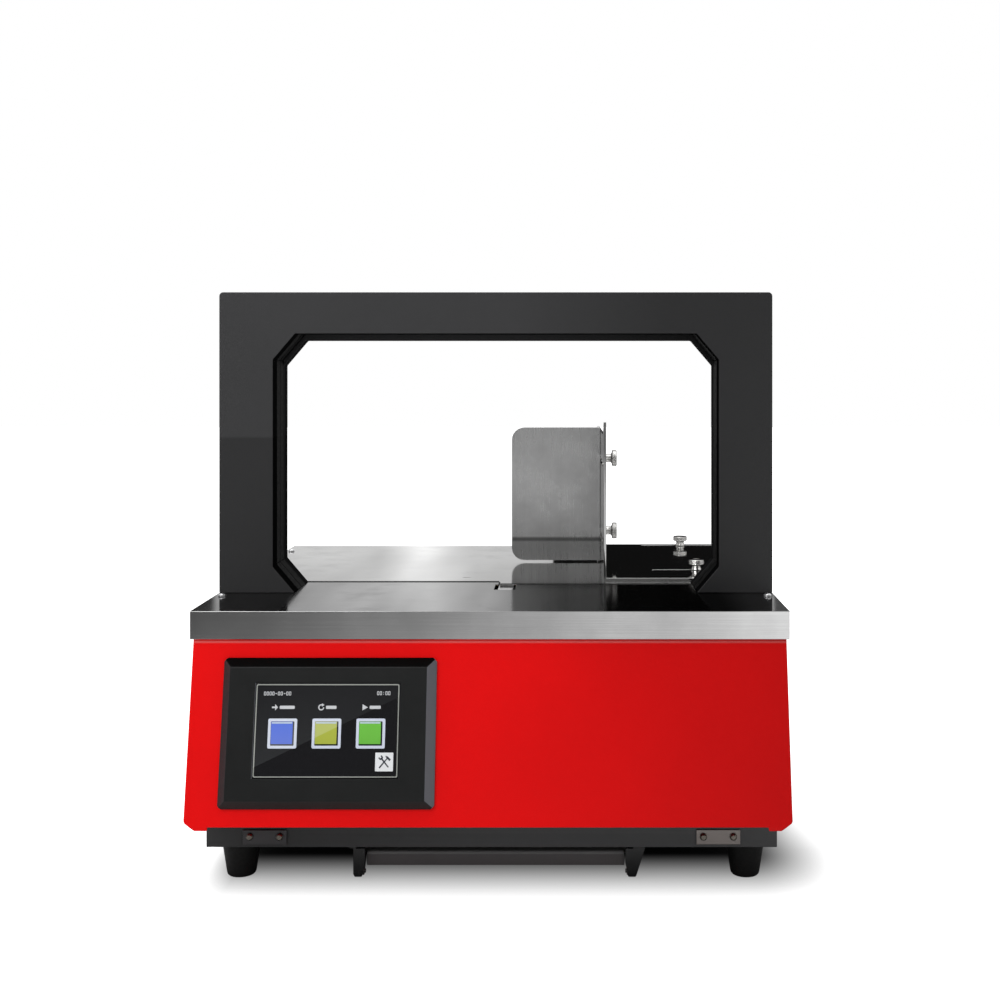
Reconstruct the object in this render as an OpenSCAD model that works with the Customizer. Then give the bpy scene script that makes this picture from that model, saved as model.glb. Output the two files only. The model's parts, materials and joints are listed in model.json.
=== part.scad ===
// Semi automatic table-top banding machine, in millimetres.
// +X to the operator's right, +Y to the back, +Z up.
// Origin: on the bench, under the middle of the whole machine.

/* [Worktop] */
// Width of the stainless worktop
table_w = 427; // [425:0.5:428]
// Depth of the stainless worktop
table_d = 350; // [348:1:352]
// Height of the worktop above the bench
table_h = 203; // [203:1:206]
// Height of the worktop's folded edge
apron_h = 20; // [18:0.5:21]
// Thickness of the stainless sheet
sheet = 1.5; // [1.2:0.1:1.5]

/* [Arch] */
// Clear width between the arch legs
opening_w = 344; // [342:1:346]
// Clear height under the arch beam
opening_h = 200; // [180:5:240]
// Height of the arch beam
beam_h = 32; // [30:1:36]
// Width of the opening's corner chamfers
chamfer_w = 17; // [16:0.5:18]
// Height of the opening's corner chamfers
chamfer_h = 20; // [18:0.5:22]
// How far the rear cover reaches below the front cover at the opening's top
rear_drop = 4.3; // [2:0.1:5]
// Width of the band
band_w = 25; // [20:1:25]

/* [Housing] */
// Width of the red housing
hood_w = 423.4; // [420:0.2:424]
// How far the front panel leans forward from top to bottom
front_lean = 25.5; // [24:0.5:26]
// Height of the feet
foot_h = 27; // [26:0.5:28]

/* [Touch panel] */
// Width of the touch panel's bezel
hmi_w = 151; // [148:1:152]
// Height of the touch panel's bezel
hmi_h = 103; // [100:1:104]
// Position of the touch panel's middle across the machine
hmi_x = -112.9; // [-114:0.1:-112]

/* [Guide] */
// Left face of the side guide's upright plate
guide_x = 85; // [80:1:88]
// Height of the side guide's front tip above the worktop
guide_h = 130; // [125:1:135]
// Height of the side guide behind its tip
guide_back_h = 118; // [114:1:120]
// Front face of the back stop, behind the worktop's front edge
stop_d = 242; // [236:1:250]
// Position of the side guide's clamping screws across the machine
clamp_x = 165; // [163:1:167]

/* [Reel] */
// Diameter of the reel's discs
reel_d = 156; // [140:2:160]

/* [Hidden] */
$fn = 48;

half_w = table_w / 2;
hood_half = hood_w / 2;
open_half = opening_w / 2;
open_top = table_h + opening_h;
arch_top = open_top + beam_h;
under = table_h - sheet;
arch_d0 = 77;
arch_d1 = 130;
arch_mid = 105;
band_d0 = arch_mid - band_w / 2 - 0.5;
band_d1 = arch_mid + band_w / 2 + 0.5;
wall = 2;
hood_t = 1.5;
panel_top = table_h - apron_h;
hood_bottom = 57;
ear_bottom = 54.5;
ear_x = 195;
// Chamfer at the side panels' lower front corners
corner_w = 8;
corner_h = 6;
panel_slope = atan(front_lean / (panel_top - hood_bottom));
panel_d = 2.7;
panel_gap = 0.05;
hmi_z = 119.5;
bevel = 6.3;
rise = 8;

// The machine reaches from the touch panel's lower edge, in front, to the reel's knob behind
reel_front = table_d + 3;
roll_w = band_w + 1;
hmi_mid_d = panel_d - (panel_top - hmi_z) * tan(panel_slope);
depth_front = hmi_mid_d - (hmi_h / 2 - bevel) * sin(panel_slope) - (rise + panel_gap) * cos(panel_slope);
depth_back = reel_front + roll_w + 16;
depth_mid = (depth_front + depth_back) / 2;

foot_x = 187.4;
foot_depths = [43.8, 318];
tray_half = 208;
tray_front = 22;
tray_back = 340;
clamp_depths = [179, 335];
stop_heights = [26.5, 92.5];
stop_pin_d = 256;
stud_r = 2;
slot_r = 2.9;

// Y coordinate of a place given as a distance behind the worktop's front edge
function deep(d) = d - depth_mid;

// Block from its limits in width, depth and height
module block(x, d, z)
    translate([x[0], deep(d[0]), z[0]])
        cube([x[1] - x[0], d[1] - d[0], z[1] - z[0]]);

// Outline in depth and height, extruded across the width
module profile_x(x, pts)
    translate([x[0], 0, 0]) rotate([90, 0, 90])
        linear_extrude(height = x[1] - x[0]) polygon([for (p = pts) [deep(p[0]), p[1]]]);

// Outline in width and height, extruded through the depth
module profile_y(d, pts)
    translate([0, deep(d[1]), 0]) rotate([90, 0, 0])
        linear_extrude(height = d[1] - d[0]) polygon(pts);

// Round bars along each axis
module rod_x(x, d, z, r) translate([x[0], deep(d), z]) rotate([0, 90, 0]) cylinder(r = r, h = x[1] - x[0]);
module rod_y(x, d, z, r) translate([x, deep(d[0]), z]) rotate([-90, 0, 0]) cylinder(r = r, h = d[1] - d[0]);
module rod_z(x, d, z, r) translate([x, deep(d), z[0]]) cylinder(r = r, h = z[1] - z[0]);

// Slots: stretched along one axis and cut along another
module slot_xz(x, d, z, r) {
    rod_z(x[0], d, z, r);
    rod_z(x[1], d, z, r);
    block(x, [d - r, d + r], z);
}
module slot_yx(x, d, z, r) {
    rod_x(x, d[0], z, r);
    rod_x(x, d[1], z, r);
    block(x, d, [z - r, z + r]);
}

// Places something on the leaning front panel: x across, y up the panel, z outwards
module on_panel(z)
    translate([hmi_x, deep(panel_d - (panel_top - z) * tan(panel_slope)), z])
        rotate([90 - panel_slope, 0, 0]) translate([0, 0, panel_gap]) children();

// Pan-head screw standing on a face, head up, shank down
module pan_screw(r, len) {
    cylinder(r = r, h = 1.2);
    translate([0, 0, 1.2]) cylinder(r1 = r, r2 = r * 0.62, h = 1);
    translate([0, 0, -len]) cylinder(r = r * 0.55, h = len);
}

// Knurled thumb screw: stud down from z = 0, then collar, neck and head up to its height
module thumb_screw(stud, tall, head_r) rotate_extrude() polygon([
    [0, -stud], [stud_r, -stud], [stud_r, 0], [4.6, 0], [4.6, 1.4], [3.7, 2.6], [3.7, tall - 5.5],
    [head_r - 2.2, tall - 4.3], [head_r - 0.6, tall - 4.3], [head_r, tall - 3.7], [head_r, tall - 0.6],
    [head_r - 0.6, tall], [0, tall]]);

// ---- Base ----

tie_x = 165;
tie_pitch = 10.9;
tie_z = 35.3;

module base_tray() color([0.2, 0.2, 0.21]) difference() {
    block([-tray_half, tray_half], [tray_front, tray_back], [foot_h, hood_bottom]);
    block([-tray_half + wall, tray_half - wall], [tray_front + wall, tray_back - wall],
        [foot_h + wall, hood_bottom + 1]);
    for (x = [-foot_x, foot_x], d = foot_depths) rod_z(x, d, [foot_h - 1, foot_h + 3], 2.6);
    for (s = [-1, 1], o = [-1, 1])
        rod_y(s * tie_x + o * tie_pitch, [tray_front - 1, tray_front + 3], tie_z, 1.5);
    for (i = [0:6]) slot_xz([-60, 60], 140 + 16 * i, [foot_h - 1, foot_h + 3], 2);
}

module rubber_feet() color([0.06, 0.06, 0.06])
    for (x = [-foot_x, foot_x], d = foot_depths) translate([x, deep(d), 0])
        rotate_extrude() polygon([[5.4, 0], [8.7, 0], [9.7, 0.35], [10.4, 1.1], [10.8, 2.3],
            [14.5, foot_h], [2.6, foot_h], [2.6, 9], [5.4, 9]]);

module foot_bolts() color([0.7, 0.7, 0.72])
    for (x = [-foot_x, foot_x], d = foot_depths) {
        rod_z(x, d, [5, 9], 4.5);
        rod_z(x, d, [9, foot_h + 9], 2.5);
        difference() {
            translate([x, deep(d), foot_h + wall]) cylinder(r = 4.62, h = 4, $fn = 6);
            rod_z(x, d, [foot_h + 1, foot_h + 7], 2.55);
        }
    }

module tie_plates() color([0.33, 0.32, 0.31]) for (s = [-1, 1]) difference() {
    block([s * tie_x - 16, s * tie_x + 16], [tray_front - 1.5, tray_front], [29.5, 40]);
    for (o = [-1, 1])
        rod_y(s * tie_x + o * tie_pitch, [tray_front - 3, tray_front + 1], tie_z, 1.5);
}

module tie_plate_screws() color([0.75, 0.75, 0.76])
    for (s = [-1, 1], o = [-1, 1])
        translate([s * tie_x + o * tie_pitch, deep(tray_front - 1.5), tie_z])
            rotate([90, 0, 0]) pan_screw(2.6, 5);

// ---- Start bar under the front edge ----

bar_x = [-92.3, 97.1];
ear_xs = [[-95.5, -94], [98.8, 100.3]];
pivot_d = 31;
pivot_z = 6.6;
web_xs = [[-101.4, -99.4], [103.3, 105.3]];
bracket_d = [25, 62];
// Tapered front plate of each bracket, which hides the pin
bracket_faces = [
    [[-101.4, 25], [-92.9, 25], [-92.9, 14], [-95, 4.6], [-95.6, 4.2], [-100.1, 4.2], [-100.9, 5]],
    [[97.7, 25], [112, 25], [105.6, 5], [104.8, 4.2], [100.2, 4.2], [99.5, 4.8], [97.7, 14]]];

// Folded bar with a rounded top bend, hung from an ear at each end
module start_bar() color([0.22, 0.22, 0.23]) difference() {
    union() {
        profile_x(bar_x, [[32, 10.2], [32, 18.6], [32.2, 19.3], [32.8, 20], [33.6, 20.3], [41, 20.3],
            [41, 18.8], [33.5, 18.8], [33.5, 10.2]]);
        block([ear_xs[0][0], ear_xs[1][1]], [33.5, 41], [18.8, 20.3]);
        for (x = ear_xs)
            profile_x(x, [[33.5, 20.3], [41, 20.3], [34.2, 5], [32.6, 3.9], [29.4, 3.9],
                [28.4, 5], [28.4, 8], [32.5, 13]]);
    }
    rod_x([ear_xs[0][0] - 1, ear_xs[1][1] + 1], pivot_d, pivot_z, 1.55);
}

module bar_brackets() color([0.1, 0.1, 0.1]) for (i = [0, 1]) {
    web = web_xs[i];
    outer = i == 0 ? [web[0] - 3, web[1]] : [web[0], web[1] + 6.7];
    difference() {
        union() {
            profile_x(web, [[bracket_d[0], foot_h], [bracket_d[1], foot_h], [bracket_d[1], 24],
                [36, 6], [33.5, 4.2], [28.5, 4.2], [bracket_d[0], 6]]);
            block(outer, bracket_d, [foot_h - 2, foot_h]);
            profile_y([bracket_d[0], bracket_d[0] + 1.8], bracket_faces[i]);
        }
        rod_x([web[0] - 1, web[1] + 1], pivot_d, pivot_z, 1.5);
    }
}

module bar_pins() color([0.7, 0.7, 0.72]) {
    rod_x([web_xs[0][0] - 0.6, ear_xs[0][1] + 1], pivot_d, pivot_z, 1.5);
    rod_x([ear_xs[1][0] - 1, web_xs[1][1] + 0.6], pivot_d, pivot_z, 1.5);
}

module start_switch() color([0.12, 0.12, 0.12]) {
    block([-12, 8], [47, 57], [17, foot_h]);
    block([-4, 0], [44.2, 47], [19, 21.5]);
}

// ---- Housing ----

module housing() color([0.8, 0.08, 0.09]) difference() {
    union() {
        difference() {
            profile_x([-hood_half, hood_half], [[panel_d, table_h - 3], [panel_d, panel_top],
                [panel_d - front_lean, hood_bottom], [panel_d - front_lean, ear_bottom],
                [344.5, ear_bottom], [344.5, table_h - 3]]);
            profile_x([-hood_half + hood_t, hood_half - hood_t], [[panel_d + hood_t, table_h],
                [panel_d + hood_t, panel_top - 0.2], [panel_d - front_lean + hood_t, hood_bottom],
                [panel_d - front_lean + hood_t, ear_bottom - 1], [346, ear_bottom - 1], [346, table_h]]);
        }
        // Return lip under the front panel, resting on the tray
        block([-hood_half, hood_half], [panel_d - front_lean + 0.7, tray_front + 2],
            [hood_bottom, hood_bottom + hood_t]);
        // Inward folds that carry the rear panel
        for (s = [-1, 1])
            block([s < 0 ? -hood_half : hood_half - 14, s < 0 ? -hood_half + 14 : hood_half],
                [343, 344.5], [hood_bottom + 4, table_h - 4]);
    }
    // The front panel stops above the side panels' lower corners
    block([-ear_x, ear_x], [-40, 21], [ear_bottom - 1, hood_bottom]);
    for (s = [-1, 1])
        profile_y([-40, 21], [[s * (hood_half - corner_w), ear_bottom - 2],
            [s * (hood_half + 1), ear_bottom - 2], [s * (hood_half + 1), ear_bottom + corner_h + 0.5],
            [s * hood_half, ear_bottom + corner_h + 0.5], [s * (hood_half - 0.7), ear_bottom + corner_h - 1],
            [s * (hood_half - corner_w + 1), ear_bottom + 0.5], [s * (hood_half - corner_w), ear_bottom]]);
    // Opening behind the touch panel
    on_panel(hmi_z) translate([-hmi_w / 2 + 9, -hmi_h / 2 + 9, -10]) cube([hmi_w - 18, hmi_h - 18, 20]);
    for (p = panel_screw_xz) rod_y(p[0], [340, 346], p[1], 1.6);
}

vent_x = 40;
module rear_panel() color([0.2, 0.2, 0.21]) difference() {
    block([-207, 207], [344.5, 346], [hood_bottom + 1, table_h - 4]);
    for (i = [0:7]) slot_yz([vent_x, vent_x + 70], [343, 348], 96 + 9 * i);
    block([-176, -148.5], [343, 348], [79, 99.5]);
    block([-178.2, -154.2], [343, 348], [118.5, 131.5]);
    rod_y(-166, [343, 348], 152, 6.05);
    rod_y(-60, [343, 348], 106, 6.05);
    block([turn_x - 14, turn_x + 14], [343, 348], [turn_z - 2.4, turn_z + 6]);
    for (p = panel_screw_xz) rod_y(p[0], [343, 348], p[1], 1.6);
}
module slot_yz(x, d, z) {
    rod_y(x[0], d, z, 2);
    rod_y(x[1], d, z, 2);
    block(x, d, [z - 2, z + 2]);
}

panel_screw_xz = [for (s = [-1, 1], z = [80, 170]) [s * 202, z]];
// The same screw holds the rear panel and the arch's rear cover
module cover_screws() color([0.45, 0.45, 0.46]) {
    for (p = panel_screw_xz) translate([p[0], deep(346), p[1]]) rotate([-90, 0, 0]) pan_screw(2.9, 6);
    for (p = arch_screw_xz) translate([p[0], deep(arch_d1), p[1]]) rotate([-90, 0, 0]) pan_screw(2.9, 8);
}

// Folded frames that stand on the tray and carry the worktop and the arch
frame_x = 200;
module end_frames() color([0.6, 0.62, 0.64]) for (s = [-1, 1]) difference() {
    union() {
        block([s * frame_x - 1, s * frame_x + 1], [56, 336], [foot_h + wall, under]);
        block([min(s * frame_x, s * 209), max(s * frame_x, s * 209)], [56, 336], [under - wall, under]);
        block([min(s * frame_x, s * 188), max(s * frame_x, s * 188)], [60, 300],
            [foot_h + wall, foot_h + 2 * wall]);
    }
    for (i = [0:3]) rod_x([s * frame_x - 3, s * frame_x + 3], 165 + 45 * i, 115, 14);
    for (p = concat(pan_screws, flush_screws)) if (p[0] * s > 0)
        rod_z(p[0], p[1], [under - 4, under + 1], 1.8);
}

// ---- Worktop ----

// One sheet of the worktop with its folded edges; front and back limits in depth
module worktop_sheet(d0, d1) difference() {
    block([-half_w, half_w], [d0, d1], [panel_top, table_h]);
    block([-half_w + sheet, half_w - sheet],
        [d0 == 0 ? sheet : d0 - 1, d1 == table_d ? table_d - sheet : d1 + 1],
        [panel_top - 1, under]);
}
module screw_sink(x, d) {
    rod_z(x, d, [under - 1, table_h + 1], 1.6);
    translate([x, deep(d), under - 0.1]) cylinder(r1 = 1.6, r2 = 3.4, h = sheet + 0.1);
}
// Pan heads, and a flush head where the side guide passes over it
pan_screws = [[-207.4, 63], [207.4, 63], [-207.4, 310]];
flush_screws = [[206.5, 311]];
seam = 0.8;
seam_left = 130;
seam_right = 118;

module worktop_front() color([0.72, 0.72, 0.7]) difference() {
    worktop_sheet(0, seam_left);
    block([0, half_w - 30], [seam_right, seam_left + 1], [under - 1, table_h + 1]);
    // Band openings under the legs and beside the anvil
    for (s = [-1, 1]) block([s * 174 - 15, s * 174 + 15], [band_d0, band_d1], [under - 1, table_h + 1]);
    block([-2.2, 14.4], [band_d0, seam_right + 1], [under - 1, table_h + 1]);
    for (p = pan_screws) rod_z(p[0], p[1], [under - 1, table_h + 1], 1.9);
}

module worktop_rear() color([0.7, 0.7, 0.68]) difference() {
    union() {
        worktop_sheet(seam_left + seam, table_d);
        block([seam, half_w - 30 - seam], [seam_right + seam, seam_left + 2], [under, table_h]);
    }
    for (p = flush_screws) screw_sink(p[0], p[1]);
    for (p = pan_screws) rod_z(p[0], p[1], [under - 1, table_h + 1], 1.9);
    for (d = clamp_depths) rod_z(clamp_x, d, [under - 1, table_h + 1], 4.5);
    slot_xz([-30, -26], 153, [under - 1, table_h + 1], 1.25);
}

module worktop_screws() color([0.6, 0.6, 0.6]) {
    for (p = pan_screws) translate([p[0], deep(p[1]), table_h]) pan_screw(3.1, 7);
    for (p = flush_screws) {
        translate([p[0], deep(p[1]), under]) cylinder(r1 = 1.5, r2 = 3.1, h = sheet - 0.1);
        rod_z(p[0], p[1], [under - 6, under], 1.5);
    }
}

// Threaded inserts for the side guide's clamping screws
module clamp_inserts() color([0.75, 0.75, 0.77]) for (d = clamp_depths) difference() {
    union() {
        rod_z(clamp_x, d, [under - 8, table_h], 4.5);
        rod_z(clamp_x, d, [under - 1.2, under], 6);
    }
    rod_z(clamp_x, d, [under - 9, table_h + 1], stud_r + 0.05);
}

// ---- Arch ----

// Opening's outline, grown outwards by g, with its top lowered by drop; closed below the worktop's surface
function opening(g, drop = 0) = let (top = open_top + g - drop) [
    [-open_half - g + chamfer_w, table_h], [-open_half - g, table_h + chamfer_h],
    [-open_half - g, top - chamfer_h], [-open_half - g + chamfer_w, top],
    [open_half + g - chamfer_w, top], [open_half + g, top - chamfer_h],
    [open_half + g, table_h + chamfer_h], [open_half + g - chamfer_w, table_h]];

module opening_cut(d, g, drop = 0) {
    profile_y(d, opening(g, drop));
    block([-open_half - g + chamfer_w, open_half + g - chamfer_w], d, [table_h - 5, table_h]);
}

corner_r = 3;
module arch_slab(d, inset) {
    r = corner_r - inset;
    hw = half_w - inset;
    profile_y(d, concat(
        [[-hw, table_h]],
        [for (a = [180:-15:90]) [-hw + r + r * cos(a), arch_top - inset - r + r * sin(a)]],
        [for (a = [90:-15:0]) [hw - r + r * cos(a), arch_top - inset - r + r * sin(a)]],
        [[hw, table_h]]));
}

// Half of the arch's cover: a face plate, outer walls to the middle, inner walls to the band gap
module arch_half(face, inner, mid, drop = 0) difference() {
    arch_slab([min(face, mid), max(face, mid)], 0);
    opening_cut([0, 200], 0, drop);
    difference() {
        block([-half_w - 1, half_w + 1], [min(face, mid) - 1, max(face, mid) + 1],
            [table_h - 1, arch_top + 1]);
        union() {
            // face plate
            block([-half_w - 1, half_w + 1],
                [face < mid ? face : face - wall, face < mid ? face + wall : face],
                [table_h - 1, arch_top + 1]);
            // outer walls
            difference() {
                block([-half_w - 1, half_w + 1], [0, 200], [table_h - 1, arch_top + 1]);
                arch_slab([-1, 201], wall);
                block([-half_w + wall, half_w - wall], [-1, 201], [table_h - 2, table_h + 1]);
            }
            // inner walls
            intersection() {
                opening_cut([-1, 201], wall);
                block([-half_w, half_w], [min(face, inner), max(face, inner)], [table_h - 1, arch_top + 1]);
            }
        }
    }
}

module arch_front_cover() color([0.18, 0.18, 0.19]) arch_half(arch_d0, band_d0, arch_mid - 0.1);
module arch_rear_cover() color([0.16, 0.16, 0.17]) difference() {
    arch_half(arch_d1, band_d1, arch_mid + 0.1, rear_drop);
    for (p = arch_screw_xz) rod_y(p[0], [125, 135], p[1], 1.6);
}
arch_screw_xz = concat([for (s = [-1, 1], z = [230, 310, 390]) [s * 202, z]],
    [for (x = [-120, 0, 120]) [x, arch_top - 9]]);

// Channel that carries the band round the arch, behind the leaves
module band_track() color([0.55, 0.56, 0.58]) difference() {
    intersection() {
        union() {
            profile_y([band_d0 - 1.4, band_d1 + 1.4], opening(12));
        }
        block([-half_w, half_w], [0, 200], [table_h + 0.2, arch_top]);
    }
    opening_cut([band_d0, band_d1], 10);
    opening_cut([0, 200], 5);
}

leaf_t = 1.3;
leaf_gap = 0.5;
// A leaf of the band gap with its hinge barrel, lying along +Z from the origin, swinging about the barrel
module leaf(len, side) {
    block_d = arch_mid - leaf_gap - band_d0 - 1.6;
    cylinder(r = 1.2, h = len);
    translate([side < 0 ? -1.2 : 1.2 - leaf_t, 0, 0]) cube([leaf_t, block_d, len]);
}
leaf_z = [table_h + chamfer_h + 0.4, open_top - chamfer_h - 0.4];
leaf_x = [-open_half + chamfer_w + 0.4, open_half - chamfer_w - 0.4];
barrel = 1.7;
module flap_left() color([0.1, 0.1, 0.1])
    translate([-open_half - barrel, deep(band_d0 + 1.6), leaf_z[0]]) leaf(leaf_z[1] - leaf_z[0], 1);
module flap_right() color([0.1, 0.1, 0.1])
    translate([open_half + barrel, deep(band_d0 + 1.6), leaf_z[0]]) leaf(leaf_z[1] - leaf_z[0], -1);
module flap_top() color([0.1, 0.1, 0.1])
    translate([leaf_x[0], deep(band_d0 + 1.6), open_top + barrel])
        rotate([0, 90, 0]) leaf(leaf_x[1] - leaf_x[0], 1);

module rear_leaves() color([0.1, 0.1, 0.1]) {
    d = [arch_mid + leaf_gap, band_d1];
    for (s = [-1, 1])
        block([s < 0 ? -open_half - 1.8 : open_half + 0.5, s < 0 ? -open_half - 0.5 : open_half + 1.8],
            d, leaf_z);
    block(leaf_x, d, [open_top + 0.5, open_top + 1.8]);
    // Fixed corner leaves, front and rear
    for (s = [-1, 1], dd = [[band_d0 + 0.2, arch_mid - leaf_gap], [d[0], band_d1 - 0.2]]) {
        profile_y(dd, [[s * (open_half + 0.4), table_h + chamfer_h],
            [s * (open_half - chamfer_w + 0.4), table_h + 0.1],
            [s * (open_half - chamfer_w + 2.4), table_h + 0.1],
            [s * (open_half + 1.8), table_h + chamfer_h]]);
        profile_y(dd, [[s * (open_half + 0.4), open_top - chamfer_h],
            [s * (open_half - chamfer_w), open_top + 0.4],
            [s * (open_half - chamfer_w), open_top + 1.8], [s * (open_half + 1.8), open_top - chamfer_h]]);
    }
}

// ---- Side guide and back stop ----

guide_d = [136, 346];
foot_slot = [130.3, 194.7];
module side_guide() color([0.62, 0.62, 0.6]) difference() {
    union() {
        profile_x([guide_x, guide_x + 2], [[guide_d[0], table_h + 0.1], [guide_d[0], table_h + guide_h - 1],
            [guide_d[0] + 1, table_h + guide_h], [guide_d[0] + 4, table_h + guide_h - 1],
            [guide_d[0] + 26, table_h + guide_back_h], [guide_d[1] - 10, table_h + guide_back_h],
            [guide_d[1], table_h + guide_back_h - 10], [guide_d[1], table_h + 0.1]]);
        block([guide_x, 207], guide_d, [table_h + 0.1, table_h + 2.1]);
    }
    for (z = stop_heights) slot_yx([guide_x - 1, guide_x + 3], [152.3, 333.7], table_h + z, slot_r);
    for (d = clamp_depths) slot_xz(foot_slot, d, [table_h - 1, table_h + 4], slot_r);
}

stop_left = 5.4;
stop_r = 11;
stop_h = 121;
function arc_points(c, r, start) = [for (a = [start:15:start + 90]) [c[0] + r * cos(a), c[1] + r * sin(a)]];
module back_stop() color([0.6, 0.6, 0.58]) difference() {
    union() {
        profile_y([stop_d, stop_d + 2], concat(
            [[guide_x - 0.1, table_h + 1.5], [guide_x - 0.1, table_h + stop_h]],
            arc_points([stop_left + stop_r, table_h + stop_h - stop_r], stop_r, 90),
            arc_points([stop_left + stop_r, table_h + 1.5 + stop_r], stop_r, 180)));
        block([guide_x - 2.1, guide_x - 0.1], [stop_d, stop_d + 28], [table_h + 1.5, table_h + stop_h]);
    }
    for (z = stop_heights) rod_x([guide_x - 4, guide_x + 1], stop_pin_d, table_h + z, stud_r + 0.1);
}

module stop_nuts() color([0.75, 0.75, 0.77]) for (z = stop_heights) difference() {
    translate([guide_x - 5.3, deep(stop_pin_d), table_h + z]) rotate([0, 90, 0])
        cylinder(r = 4.04, h = 3.2, $fn = 6);
    rod_x([guide_x - 6, guide_x - 1], stop_pin_d, table_h + z, stud_r + 0.05);
}

module guide_knob(d) color([0.75, 0.74, 0.7]) 
    translate([clamp_x, deep(d), table_h + 2.2]) thumb_screw(9, 9.1, 6.6);
module guide_knob_front() guide_knob(clamp_depths[0]);
module guide_knob_rear() guide_knob(clamp_depths[1]);
module stop_knob(z) color([0.75, 0.74, 0.7])
    translate([guide_x + 2.1, deep(stop_pin_d), table_h + z]) rotate([0, 90, 0]) thumb_screw(8.4, 13.1, 7.3);
module stop_knob_upper() stop_knob(stop_heights[1]);
module stop_knob_lower() stop_knob(stop_heights[0]);

// ---- Touch panel ----

screen_w = 99.7;
screen_h = 62.4;
screen_up = 2;
// The screen's outline grown by g, between two heights off the front panel
module screen_block(g, z) translate([-screen_w / 2 - g, -screen_h / 2 - g + screen_up, z[0]])
    cube([screen_w + 2 * g, screen_h + 2 * g, z[1] - z[0]]);
module hmi_bezel() color([0.14, 0.14, 0.14]) on_panel(hmi_z) difference() {
    intersection() {
        rotate([90, 0, 90]) translate([0, 0, -hmi_w / 2]) linear_extrude(height = hmi_w)
            polygon([[-hmi_h / 2, 0], [hmi_h / 2, 0], [hmi_h / 2, 1.5], [hmi_h / 2 - bevel, rise],
                [-hmi_h / 2 + bevel, rise], [-hmi_h / 2, 1.5]]);
        rotate([90, 0, 0]) translate([0, 0, -hmi_h / 2]) linear_extrude(height = hmi_h)
            polygon([[-hmi_w / 2, 0], [hmi_w / 2, 0], [hmi_w / 2, 1.5], [hmi_w / 2 - bevel, rise],
                [-hmi_w / 2 + bevel, rise], [-hmi_w / 2, 1.5]]);
        linear_extrude(height = rise) polygon([for (s = [[1, 1], [-1, 1], [-1, -1], [1, -1]], k = [0, 1])
            [s[0] * (hmi_w / 2 - (k == (s[0] * s[1] > 0 ? 0 : 1) ? 0 : 2.5)),
             s[1] * (hmi_h / 2 - (k == (s[0] * s[1] > 0 ? 0 : 1) ? 2.5 : 0))]]);
    }
    screen_block(1, [rise - 1.2, rise + 2]);
    screen_block(-3, [-1, rise + 1]);
}
module hmi_screen() color([0.08, 0.09, 0.1]) on_panel(hmi_z) screen_block(0.8, [rise - 1.2, rise - 0.2]);
module hmi_case() color([0.16, 0.16, 0.16]) on_panel(hmi_z)
    translate([-hmi_w / 2 + 10, -hmi_h / 2 + 10, -31]) cube([hmi_w - 20, hmi_h - 20, 30.9]);

// ---- Sealing head under the worktop ----

slide_gap = 0.15;
// Sliders: [low x, high x, top]
gripper_l = [-26, -8, 192];
press = [-1, 13, 194];
blade = [14.4, 15.6, 191];
gripper_r = [18, 36, 192];
slider_d = [94, 117];
slider_z = 124;
module slider(s, gap)
    block([s[0] - gap, s[1] + gap], [slider_d[0] - gap, slider_d[1] + gap], [slider_z, s[2]]);

module head_block() color([0.5, 0.5, 0.52]) difference() {
    block([-34, 44], [88, 123], [140, 188]);
    for (s = [gripper_l, press, blade, gripper_r]) translate([0, 0, 40]) slider(s, slide_gap);
    for (s = [gripper_l, press, blade, gripper_r]) translate([0, 0, -20]) slider(s, slide_gap);
}
module head_cheeks() color([0.58, 0.6, 0.62]) for (x = [-40, 44]) difference() {
    union() {
        block([x, x + 6], [86, 125], [70, under]);
        block([x < 0 ? x - 12 : x, x < 0 ? x + 6 : x + 18], [86, 114], [under - 3, under]);
    }
    rod_x([x - 1, x + 7], arch_mid, 98, 8);
}
module gripper_left() color([0.7, 0.7, 0.72]) slider(gripper_l, 0);
module gripper_right() color([0.7, 0.7, 0.72]) slider(gripper_r, 0);
module press_head() color([0.8, 0.65, 0.35]) slider(press, 0);
module cutter() color([0.8, 0.8, 0.82]) slider(blade, 0);
module anvil() color([0.8, 0.8, 0.8]) difference() {
    block([0.2, 12.2], [93.2, 160], [under - 3, under - 0.15]);
    slot_xz([6, 6.2], 150, [under - 4, under], 1.5);
}

cam_z = 98;
cams = [[-22, -12], [2, 10], [14, 16], [22, 32]];
module cam_shaft() color([0.66, 0.66, 0.68]) {
    difference() {
        union() {
            rod_x([-36, 54], arch_mid, cam_z, 4);
            rod_x([-60, -36], arch_mid, cam_z, 3);
            for (c = cams) {
                rod_x(c, arch_mid, cam_z, 17);
                rod_x(c, arch_mid, cam_z - 5, 16);
            }
        }
        rod_x([50, 55], arch_mid, cam_z, 1.6);
    }
}
module cam_bearings() color([0.75, 0.6, 0.35]) for (x = [-40, 44]) difference() {
    rod_x([x, x + 6], arch_mid, cam_z, 8);
    rod_x([x - 1, x + 7], arch_mid, cam_z, 4.05);
}
module cam_motor() color([0.3, 0.3, 0.32]) difference() {
    union() {
        rod_x([-86, -58], arch_mid, cam_z, 18.5);
        rod_x([-140, -86], arch_mid, cam_z, 17.5);
        block([-84, -60], [86, 125], [foot_h + wall, 84]);
    }
    rod_x([-61, -57], arch_mid, cam_z, 3.1);
}

// ---- Band feed ----

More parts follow.
